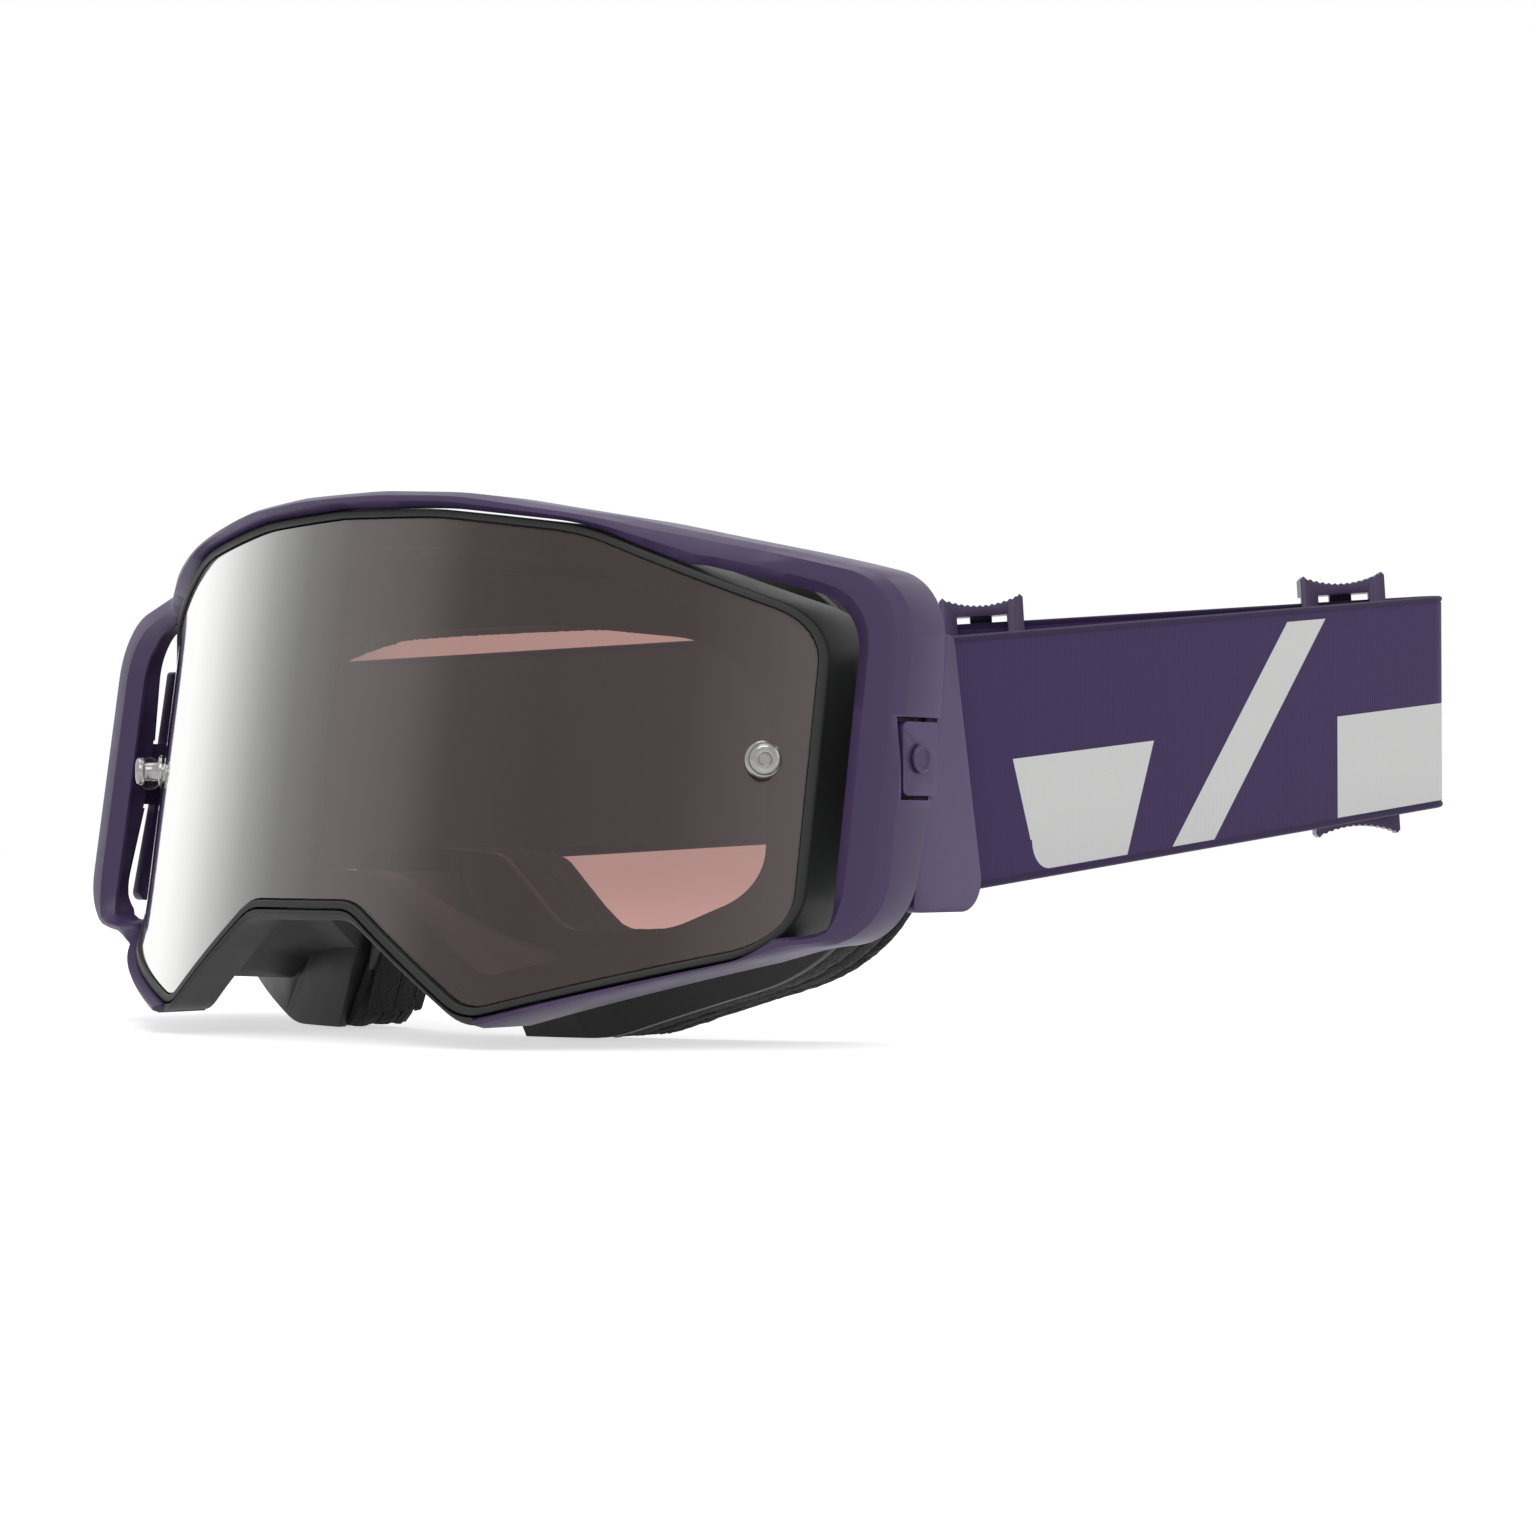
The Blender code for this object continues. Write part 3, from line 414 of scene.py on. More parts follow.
@dataclass(frozen=True)
class Webbing:
    """Ribbed elastic webbing with a pale printed band; its UV map is in metres along and up."""

    name: str = "webbing_violet"
    colour: tuple[float, float, float] = (0.036, 0.017, 0.080)
    print_colour: tuple[float, float, float] = (0.66, 0.66, 0.65)
    rib: float = 0.85
    band_low: float = -18.6
    band_high: float = -0.3
    first: tuple[float, float] = (27.9, 53.5)
    first_lean: tuple[float, float] = (6.6, 8.0)
    corner: float = 5.0
    second: tuple[float, float] = (121.0, 230.0)
    bar: tuple[float, float] = (86.0, 13.0)
    bar_slant: float = 1.02

    def build(self) -> bpy.types.Material:
        """Return the material: ribs across the strap, weave along it and the printed band."""
        graph = Graph(self.name)
        uv = graph.node("UVMap", 0, {"uv_map": "Strap"})
        along, up, _ = graph.split(uv)
        u, v = along * 1000.0, up * 1000.0
        ribs = (u * (2.0 * math.pi / self.rib)).wave()
        weave = (v * (2.0 * math.pi / 0.62)).wave()
        cross = ribs * 0.6 + (ribs * weave) * 0.4
        yarn = graph.noise(1900.0, 3.0)
        height = (v - self.band_low) * (1.0 / (self.band_high - self.band_low))
        inside = (v > self.band_low) * (v < self.band_high)
        left, right = self.first
        first = (u + height * self.first_lean[0] > left) * (u - height * self.first_lean[1] < right)
        centre_u, centre_v = left + self.corner * 0.72, self.band_low + self.corner
        off_u, off_v = u - centre_u, v - centre_v
        cut = (off_u < 0.0) * (off_v < 0.0) * (off_u * off_u + off_v * off_v > self.corner ** 2)
        second = (u > self.second[0]) * (u < self.second[1])
        band = inside * graph.maths("MAXIMUM", first - cut, second)
        lean = u - v * self.bar_slant - self.bar[0]
        bar = (lean > 0.0) * (lean < self.bar[1]) * (v < 17.6) * (v > -18.6)
        printed = graph.maths("MINIMUM", graph.maths("MAXIMUM", band, bar), 1.0)
        shade = graph.blend(yarn * 0.7, self.colour, tuple(part * 1.35 for part in self.colour))
        ribbed = graph.blend(cross * 0.12 + 0.12, shade, tuple(part * 0.45 for part in self.colour))
        hem = v.size() > STRAP.height / 2 - STRAP.hem
        hemmed = graph.blend(hem * 0.75, ribbed, tuple(part * 0.5 for part in self.colour))
        ink = graph.blend(yarn * 0.25, self.print_colour, tuple(part * 0.9 for part in self.print_colour))
        colour = graph.blend(printed, hemmed, ink)
        relief = cross * 0.5 + yarn * 0.5
        rough = graph.node("MapRange", 0, Value=printed, To_Min=0.88, To_Max=0.55)
        return graph.surface(Base_Color=colour, Roughness=rough, Sheen_Weight=0.12,
                             Specular_IOR_Level=0.25, Normal=graph.bump(relief, 0.06, 0.5))


@dataclass(frozen=True)
class Steel:
    """Stamped bright steel."""

    name: str = "stamped_steel"

    def build(self) -> bpy.types.Material:
        """Return the material."""
        graph = Graph(self.name)
        marks = graph.noise(700.0, 4.0)
        colour = graph.blend(marks, (0.42, 0.42, 0.44), (0.60, 0.60, 0.62))
        rough = graph.node("MapRange", 0, Value=marks, To_Min=0.2, To_Max=0.4)
        return graph.surface(Base_Color=colour, Metallic=1.0, Roughness=rough, Normal=graph.bump(marks, 0.02, 0.3))


@dataclass(frozen=True)
class ClearPlastic:
    """Clear moulded plastic with bright rims."""

    name: str = "clear_moulding"

    def build(self) -> bpy.types.Material:
        """Return the material."""
        graph = Graph(self.name)
        swirl = graph.noise(500.0, 3.0)
        colour = graph.blend(swirl, (0.20, 0.19, 0.19), (0.42, 0.41, 0.40))
        rough = graph.node("MapRange", 0, Value=swirl, To_Min=0.08, To_Max=0.16)
        return graph.surface(Base_Color=colour, Roughness=rough, Metallic=0.55, Coat_Weight=0.6,
                             Normal=graph.bump(swirl, 0.02, 0.3))


class Finishes:
    """All finishes, built once, by material slot."""

    def __init__(self) -> None:
        self.by_slot = {
            Slot.PURPLE: Plastic("violet_nylon", (0.043, 0.024, 0.078), 0.40, 0.03, 0.06).build(),
            Slot.BLACK: Plastic("black_flexible_plastic", (0.015, 0.016, 0.015), 0.46, 0.04, 0.0).build(),
            Slot.LENS: MirrorLens().build(),
            Slot.FOAM: Foam("black_foam", (0.020, 0.020, 0.020), 0.8, 0.35, 0.10).build(),
            Slot.FLEECE: Foam("black_fleece", (0.009, 0.009, 0.009), 0.5, 0.30, 0.25).build(),
            Slot.WEBBING: Webbing().build(),
            Slot.SILICONE: Plastic("grip_print", (0.020, 0.014, 0.008), 0.55, 0.05, 0.0).build(),
            Slot.CLEAR: ClearPlastic().build(),
            Slot.STEEL: Steel().build()}

    def __getitem__(self, slot: Slot) -> bpy.types.Material:
        return self.by_slot[slot]


# ---------------------------------------------------------------- outlines and surfaces

def rounded(corners: Sequence[tuple[float, float, float]], step: float = 4.0) -> Outline:
    """Return an open outline through corners of (x, z, fillet radius).

    Each corner is replaced by the arc that touches both of its sides: the arc starts the fillet
    radius times the tangent of half the turn before the corner.

    Args:
        corners: The corners in order; the two ends stay sharp.
        step: Degrees of turn for each arc point.

    Returns:
        Points of the outline.
    """
    path = [np.array(corners[0][:2], float)]
    for before, here, after in zip(corners, corners[1:], corners[2:]):
        point = np.array(here[:2], float)
        inward = point - np.array(before[:2], float)
        outward = np.array(after[:2], float) - point
        inward /= np.linalg.norm(inward)
        outward /= np.linalg.norm(outward)
        turn = math.atan2(inward[0] * outward[1] - inward[1] * outward[0], inward @ outward)
        if here[2] <= 0 or abs(turn) < 1e-6:
            path.append(point)
            continue
        start = point - inward * here[2] * math.tan(abs(turn) / 2)
        normal = np.array([-inward[1], inward[0]]) * math.copysign(here[2], turn)
        angles = np.linspace(0, turn, max(3, math.ceil(abs(math.degrees(turn)) / step)) + 1)
        cosine, sine = np.cos(angles), np.sin(angles)
        arm = -normal
        spun = np.stack([arm[0] * cosine - arm[1] * sine, arm[0] * sine + arm[1] * cosine], 1)
        path.extend(start + normal + spun)
    path.append(np.array(corners[-1][:2], float))
    return np.array(path)


def dense(outline: Outline, step: float = 0.25) -> Outline:
    """Return the outline resampled at an even spacing."""
    lengths = np.r_[0, np.cumsum(np.linalg.norm(np.diff(outline, axis=0), axis=1))]
    stations = np.linspace(0, lengths[-1], int(lengths[-1] / step) + 1)
    return np.stack([np.interp(stations, lengths, outline[:, axis]) for axis in (0, 1)], 1)


def grown(outline: Outline, distance: float) -> Outline:
    """Return the half outline moved outwards by a distance along its normals."""
    points = dense(outline)
    tangent = np.gradient(points, axis=0)
    tangent[[0, -1], 1] = 0
    tangent /= np.linalg.norm(tangent, axis=1, keepdims=True)
    return points + distance * np.stack([tangent[:, 1], -tangent[:, 0]], 1)


def radii(outline: Outline, angles: np.ndarray) -> np.ndarray:
    """Return how far a half outline lies from the pole at each polar angle."""
    points = dense(outline)
    reach = np.hypot(points[:, 0], points[:, 1] - LENS.pole)
    bearing = np.arctan2(points[:, 1] - LENS.pole, points[:, 0])
    order = np.argsort(bearing)
    return np.interp(angles, bearing[order], reach[order])


def lens_y(x: np.ndarray, z: np.ndarray) -> np.ndarray:
    """Depth of the lens's front: the sag of a cylinder plus the lean for the height."""
    flat = np.sqrt(np.maximum(LENS.radius ** 2 - x ** 2, 1.0))
    return LENS.apex + LENS.radius - flat + LENS.lean * z


def behind(distance: float) -> Depth:
    """Return the depth of the surface a distance behind the lens, square to it."""
    def depth(x: np.ndarray, z: np.ndarray) -> np.ndarray:
        flat = np.sqrt(np.maximum(LENS.radius ** 2 - x ** 2, 1.0))
        return lens_y(x, z) + distance * LENS.radius / flat
    return depth


def frame_y(x: np.ndarray, z: np.ndarray) -> np.ndarray:
    """Depth of the outer frame's front edge: before the lens, then flatter over the struts."""
    strut = FRAME.strut_y + FRAME.strut_slope * (x - FRAME.strut_x) + LENS.lean * z
    return np.minimum(lens_y(x, z) - FRAME.proud, strut)


def face_y(x: np.ndarray, z: np.ndarray) -> np.ndarray:
    """Depth of the flange's rear edge: a wider cylinder than the lens's."""
    return FACE.apex + FACE.radius - np.sqrt(FACE.radius ** 2 - x ** 2) + FACE.lean * z


def side_edge(z: np.ndarray | float) -> np.ndarray:
    """Rear edge of the strut's side wall at a height."""
    return FRAME.side_back + np.where(np.asarray(z) > 0, 0.10, 0.28) * z


class Outlines:
    """The half outlines of the goggles, from the mid-plane over the nose to the top."""

    @staticmethod
    def lens() -> Outline:
        """Edge of the lens."""
        return rounded([
            (0, LENS.notch[1], 0), (*LENS.notch, 8), (*LENS.peak, 6),
            (LENS.half_width, LENS.side_bottom, 9), (LENS.half_width, LENS.top - 18.6, 9),
            (44, LENS.top - 4.1, 30), (20, LENS.top - 0.7, 60), (0, LENS.top, 0)])

    @staticmethod
    def frame() -> Outline:
        """Outer side of the outer frame."""
        rim = FRAME.rim
        return rounded([
            (0, LENS.notch[1] - rim, 0), (LENS.notch[0], LENS.notch[1] - rim, 8),
            (LENS.peak[0] + 1, LENS.peak[1] - rim, 6), (78, LENS.side_bottom - rim + 2.2, 30),
            (FRAME.half_width, -27.5, 10), (FRAME.half_width, FRAME.top - 16.5, 12),
            (52, FRAME.top - 6.2, 60), (26, FRAME.top - 1.1, 60), (9, FRAME.top, 60), (0, FRAME.top, 0)])

    @staticmethod
    def window() -> Outline:
        """Inner side of the struts."""
        return rounded([(0, -60, 0), (30, -60, 0), (FRAME.strut_x, -27.5, 9),
                        (FRAME.strut_x, 23.5, 10), (60, 30.5, 5), (0, 20, 0)])

    @staticmethod
    def port() -> Outline:
        """Opening for the eyes in the foam."""
        return rounded([
            (0, -13.5, 0), (16, -14.5, 7), (28, -27.0, 8), (46, -26.5, 14), (59.5, -20.0, 10),
            (59.5, 18.5, 16), (25, 22.5, 50), (0, 22.5, 0)])

    @staticmethod
    def cushion() -> Outline:
        """Outer side of the foam."""
        return rounded([
            (0, -20.5, 0), (11.5, -20.5, 4), (16, -44.0, 6), (37, -44.0, 20), (73.5, -31.0, 22),
            (73.5, 30.5, 26), (30, 36.5, 50), (0, 36.5, 0)])


def ring_angles(count: int = 150) -> np.ndarray:
    """Polar angles of the stations of a half ring, evenly spaced along the lens's edge."""
    points = dense(Outlines.lens(), 0.1)
    picked = points[np.linspace(0, len(points) - 1, count + 1).round().astype(int)]
    angles = np.arctan2(picked[:, 1] - LENS.pole, picked[:, 0])
    angles[[0, -1]] = (-math.pi / 2, math.pi / 2)
    return angles


def rail(radius: np.ndarray, angles: np.ndarray, depth: Depth) -> np.ndarray:
    """Return one rail of a half ring as X, Y, Z rows."""
    across = radius * np.cos(angles)
    across[np.abs(np.abs(angles) - math.pi / 2) < 1e-9] = 0.0
    height = LENS.pole + radius * np.sin(angles)
    return np.stack([across, depth(across, height), height], 1)


# ---------------------------------------------------------------- mesh tools

class Maker:
    def __init__(self, finishes: Finishes) -> None:
        low, high = (np.array(corner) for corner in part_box("pivot_pin_left"))
        middle = (low + high) / 2
        self.shift = np.array([0.0, middle[1] - PIVOT.y * MM, middle[2]])
        self.finishes = finishes
        self.scrap: list[bpy.types.Object] = []

    def mesh(self, name: str, points: np.ndarray, faces: Sequence[Sequence[int]]) -> bpy.types.Mesh:
        """Return a mesh from design points in millimetres, faces turned outwards."""
        mesh = bpy.data.meshes.new(name)
        placed = np.asarray(points, float) * MM + self.shift
        mesh.from_pydata(placed.tolist(), [], [list(face) for face in faces])
        shape = bmesh.new()
        shape.from_mesh(mesh)
        bmesh.ops.recalc_face_normals(shape, faces=shape.faces)
        shape.to_mesh(mesh)
        shape.free()
        return mesh

    def thing(self, name: str, mesh: bpy.types.Mesh) -> bpy.types.Object:
        """Link a mesh as an object at the origin."""
        item = bpy.data.objects.new(name, mesh)
        bpy.context.scene.collection.objects.link(item)
        return item

    def loft(self, name: str, rails: Sequence[np.ndarray], capped: bool = False) -> bpy.types.Object:
        """Return an object through rails that go round a closed section."""
        count, turns = len(rails[0]), len(rails)
        points = np.concatenate(rails)
        faces: list[list[int]] = []
        for side in range(turns):
            here, there = side * count, (side + 1) % turns * count
            faces += [[here + i, here + i + 1, there + i + 1, there + i] for i in range(count - 1)]
        if capped:
            for index in (0, count - 1):
                if abs(points[index, 0]) > 1e-6:
                    faces.append([side * count + index for side in range(turns)])
        return self.thing(name, self.mesh(name, points, faces))

    def prism(self, name: str, outline: Sequence[Sequence[float]], low: float, high: float,
              axis: int = 0, holes: Sequence[Sequence[Sequence[float]]] = ()) -> bpy.types.Object:
        """Return a flat plate: an outline in the plane square to an axis, from low to high.

        Args:
            name: The object's name.
            outline: Points in the two other axes, in X, Y, Z order.
            low: Lower face along the axis.
            high: Upper face along the axis.
            axis: The axis that the plate is square to.
            holes: Outlines of holes.
        """
        others = [index for index in range(3) if index != axis]
        item = None
        for loop in [outline, *holes]:
            edge = np.asarray(loop, float)
            count = len(edge)
            extra = 0.0 if item is None else 1.0
            points = np.zeros((2 * count, 3))
            points[:, others] = np.tile(edge, (2, 1))
            points[:count, axis] = low - extra
            points[count:, axis] = high + extra
            faces = [list(range(count)), list(range(count, 2 * count))]
            faces += [[i, (i + 1) % count, count + (i + 1) % count, count + i] for i in range(count)]
            body = self.thing(name, self.mesh(name, points, faces))
            if item is None:
                item = body
            else:
                self.combine(item, body, "DIFFERENCE")
        return item

    def combine(self, item: bpy.types.Object, other: bpy.types.Object, operation: str) -> None:
        """Cut or join with the exact solver and apply it."""
        modifier = item.modifiers.new("Boolean", "BOOLEAN")
        modifier.operation = operation
        modifier.solver = "EXACT"
        modifier.object = other
        self.apply(item)
        bpy.data.objects.remove(other, do_unlink=True)

    def mirror(self, item: bpy.types.Object) -> None:
        """Complete a half at the mid-plane and apply it."""
        modifier = item.modifiers.new("Mirror", "MIRROR")
        modifier.use_clip = True
        modifier.merge_threshold = MERGE
        self.apply(item)

    def round_edges(self, item: bpy.types.Object, width: float, segments: int = 3, angle: float = 28.0) -> None:
        """Round the edges that turn by more than an angle, and apply it."""
        modifier = item.modifiers.new("Bevel", "BEVEL")
        modifier.width = width * MM
        modifier.segments = segments
        modifier.limit_method = "ANGLE"
        modifier.angle_limit = math.radians(angle)
        modifier.harden_normals = False
        self.apply(item)

    def apply(self, item: bpy.types.Object) -> None:
        """Replace the mesh by its evaluated copy, without modifiers."""
        bpy.context.view_layer.update()
        evaluated = item.evaluated_get(bpy.context.evaluated_depsgraph_get())
        mesh = bpy.data.meshes.new_from_object(evaluated)
        mesh.name = item.name
        item.modifiers.clear()
        item.data = mesh

    def turned(self, name: str, profile: Sequence[tuple[float, float]], base: Sequence[float],
               axis: Sequence[float], steps: int = 48) -> bpy.types.Object:
        """Return a profile of (radius, height) turned about an axis through a base point."""
        count = len(profile)
        turns = np.linspace(0, 2 * math.pi, steps, endpoint=False)
        rows = [np.stack([r * np.cos(turns), r * np.sin(turns), np.full(steps, h)], 1) for r, h in profile]
        spin = np.array(Vector(axis).to_track_quat("Z", "Y").to_matrix())
        points = np.concatenate(rows) @ spin.T + np.array(base, float)
        faces = [[r * steps + i, r * steps + (i + 1) % steps, (r + 1) * steps + (i + 1) % steps, (r + 1) * steps + i]
                 for r in range(count - 1) for i in range(steps)]
        item = self.thing(name, self.mesh(name, points, faces))
        shape = bmesh.new()
        shape.from_mesh(item.data)
        bmesh.ops.remove_doubles(shape, verts=shape.verts, dist=0.000002)
        bmesh.ops.recalc_face_normals(shape, faces=shape.faces)
        shape.to_mesh(item.data)
        shape.free()
        return item

    def done(self, item: bpy.types.Object, slot: Slot, body: str, *nodes: str, smooth: float = 40.0) -> None:
        """Shade, finish and attach a piece.

        Args:
            item: The piece.
            slot: Material slot.
            body: The CAD body it rides on.
            nodes: CAD nodes that it stands for.
            smooth: Sharpest angle that is shaded smooth.
        """
        item.data.materials.clear()
        item.data.materials.append(self.finishes[slot])
        item.data.shade_smooth()
        item.data.set_sharp_from_angle(angle=math.radians(smooth))
        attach(item, body)
        if nodes:
            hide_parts(*nodes)
        LOG.info("%s: %d faces", item.name, len(item.data.polygons))


def circle(centre: Sequence[float], radius: float, count: int = 48) -> list[tuple[float, float]]:
    """Return points of a circle."""
    turns = np.linspace(0, 2 * math.pi, count, endpoint=False)
    return [(centre[0] + radius * math.cos(turn), centre[1] + radius * math.sin(turn)) for turn in turns]


# ---------------------------------------------------------------- sub-assemblies

class LensGroup:
    """Lens, its posts, the inner frame and the nose bridge."""

    def __init__(self, maker: Maker) -> None:
        self.maker = maker

    def lens(self) -> None:
        """Half discs of rings out to the lens's edge, mirrored and given its thickness."""
        angles = ring_angles()
        reach = radii(Outlines.lens(), angles)
        rows = [rail(reach * share, angles, lens_y) for share in np.linspace(0, 1, 25)[1:]]
        count = len(angles)
        centre = np.array([[0.0, float(lens_y(np.array(0.0), np.array(LENS.pole))), LENS.pole]])
        points = np.concatenate([centre, *rows])
        faces = [[0, 1 + i, 2 + i] for i in range(count - 1)]
        for row in range(len(rows) - 1):
            low = 1 + row * count
            faces += [[low + i, low + count + i, low + count + i + 1, low + i + 1] for i in range(count - 1)]
        mesh = self.maker.mesh("lens_shield", points, faces)
        if sum(face.normal.y * face.area for face in mesh.polygons) > 0:
            mesh.flip_normals()
        item = self.maker.thing("lens_shield", mesh)
        self.maker.mirror(item)
        modifier = item.modifiers.new("Thickness", "SOLIDIFY")
        modifier.thickness = LENS.thick * MM
        modifier.offset = -1.0
        self.maker.apply(item)
        self.maker.done(item, Slot.LENS, "frame", "lens", smooth=30.0)

    def inner_frame(self) -> None:
        """Seat behind the lens and the thin lip round its edge."""
        angles = ring_angles()
        outline = Outlines.lens()
        inner = radii(grown(outline, -FRAME.seat), angles)
        lip = radii(grown(outline, FRAME.gap), angles)
        outer = radii(grown(outline, FRAME.gap + FRAME.lip), angles)
        seat, front, back = behind(LENS.thick + FRAME.gap), behind(-FRAME.lip_proud), behind(FRAME.inner_depth)
        rails = [rail(inner, angles, seat), rail(lip, angles, seat), rail(lip, angles, front),
                 rail(outer, angles, front), rail(outer, angles, back), rail(inner, angles, back)]
        item = self.maker.loft("inner_frame", rails)
        self.maker.mirror(item)
        self.maker.round_edges(item, 0.28)
        self.maker.done(item, Slot.BLACK, "frame", "lens_frame")

    def nose_bridge(self) -> None:
        """Strip over the nose, with the parting step along it."""
        angles = ring_angles()
        end = math.radians(FRAME.end_angle)
        angles = np.r_[angles[angles < end - 0.03], end - 0.012]
        inner = radii(grown(Outlines.lens(), FRAME.lip + 2 * FRAME.gap), angles)
        outer = inner + FRAME.bridge
        proud = -FRAME.lip_proud
        rails = [rail(inner, angles, behind(proud)), rail(inner + 0.5, angles, behind(proud - 0.3)),
                 rail(outer, angles, behind(proud + 0.3)), rail(outer, angles, behind(FRAME.inner_depth)),
                 rail(inner, angles, behind(FRAME.inner_depth))]
        item = self.maker.loft("nose_bridge_strip", rails, True)
        self.maker.mirror(item)
        self.maker.round_edges(item, 0.35)
        self.maker.done(item, Slot.BLACK, "frame", "nose_bridge")

    def posts(self) -> None:
        """Tear-off posts: a stepped, dished head on a neck, over a flange on the lens."""
        x = 70.2
        slope = x / math.sqrt(LENS.radius ** 2 - x ** 2)
        for side, label in ((1, "left"), (-1, "right")):
            outward = Vector((side * slope, -1.0, 0.0)).normalized()
            base = (side * x, float(lens_y(np.array(x), np.array(0.0))), 0.0)
            profile = [(0.0, 4.4), (0.9, 4.4), (1.1, 4.9), (1.8, 5.0), (2.25, 4.8), (2.5, 4.45), (2.5, 3.8),
                       (2.3, 3.5), (1.75, 3.3), (1.7, 3.0), (1.7, 1.2), (1.9, 0.95), (2.7, 0.9), (2.9, 0.7),
                       (2.9, 0.3), (1.5, 0.3), (1.5, -1.0), (0.0, -1.0)]
            item = self.maker.turned("post_" + label, profile, base, outward)
            self.maker.done(item, Slot.CLEAR, "frame", "tear_off_post_" + label)

    def build(self) -> None:
        """Make the group."""
        self.lens()
        self.inner_frame()
        self.nose_bridge()
        self.posts()


class OuterFrameGroup:
    """The violet C-shaped frame with its pockets."""

    def __init__(self, maker: Maker) -> None:
        self.maker = maker

    @staticmethod
    def mix(pair: tuple[float, float], share: np.ndarray) -> np.ndarray:
        """A value that runs from the rim's to the strut's."""
        return pair[0] + (pair[1] - pair[0]) * share

    def build(self) -> None:
        """Loft the flange and side wall, cut the tongue's pocket and the pin's hole."""
        every = ring_angles(190)
        end = math.radians(FRAME.end_angle)
        angles = np.r_[end, every[every > end + 0.006]]
        outer = radii(Outlines.frame(), angles)
        around = radii(grown(Outlines.lens(), FRAME.lip + 2 * FRAME.gap), angles)
        inner = np.maximum(around, np.minimum(radii(Outlines.window(), angles), outer - 4.0))
        width = outer - inner
        share = np.clip((outer * np.cos(angles) - 72.0) / 12.0, 0.0, 1.0)
        wall = np.minimum(self.mix(FRAME.wall, share), width - 0.3)
        lip, lip_depth = self.mix(FRAME.lip_thick, share), self.mix(FRAME.lip_depth, share)
        web = self.mix(FRAME.web, share)

        def front(step: float | np.ndarray) -> Depth:
            return lambda x, z: frame_y(x, z) + step

        def back(x: np.ndarray, z: np.ndarray) -> np.ndarray:
            rim = frame_y(x, z) + FRAME.depth
            return rim + (side_edge(z) - rim) * share

        rails = [
            rail(inner, angles, front(FRAME.bevel)), rail(inner + 0.35 * width, angles, front(0.0)),
            rail(outer - np.minimum(1.4, 0.3 * width), angles, front(0.3)), rail(outer, angles, front(2.0)),
            rail(outer, angles, back), rail(outer - lip, angles, back),
            rail(outer - lip, angles, lambda x, z: back(x, z) - lip_depth),
            rail(outer - wall, angles, lambda x, z: back(x, z) - lip_depth),
            rail(outer - wall, angles, front(web)), rail(inner, angles, front(web))]
        item = self.maker.loft("outer_frame_shell", rails, True)
        self.maker.mirror(item)
        floor = FRAME.half_width - PIVOT.step - PIVOT.plate - FRAME.gap
        room = PIVOT.tongue + PIVOT.room
        for side in (1, -1):
            y = (PIVOT.tongue_front - 2 * FRAME.gap, FRAME.side_back + 10.0)
            low, high = sorted((side * floor, side * (FRAME.half_width + 2.0)))
            square = [(y[0], -room), (y[1], -room), (y[1], room), (y[0], room)]
            self.maker.combine(item, self.maker.prism("pocket", square, low, high), "DIFFERENCE")
            low, high = sorted((side * (FRAME.half_width - 6.0), side * (FRAME.half_width + 3.0)))
            hole = self.maker.prism("hole", circle((PIVOT.y, 0.0), PIVOT.pin + FRAME.gap), low, high)
            self.maker.combine(item, hole, "DIFFERENCE")
        self.maker.round_edges(item, 0.32)
        self.maker.done(item, Slot.PURPLE, "frame", "outer_frame")


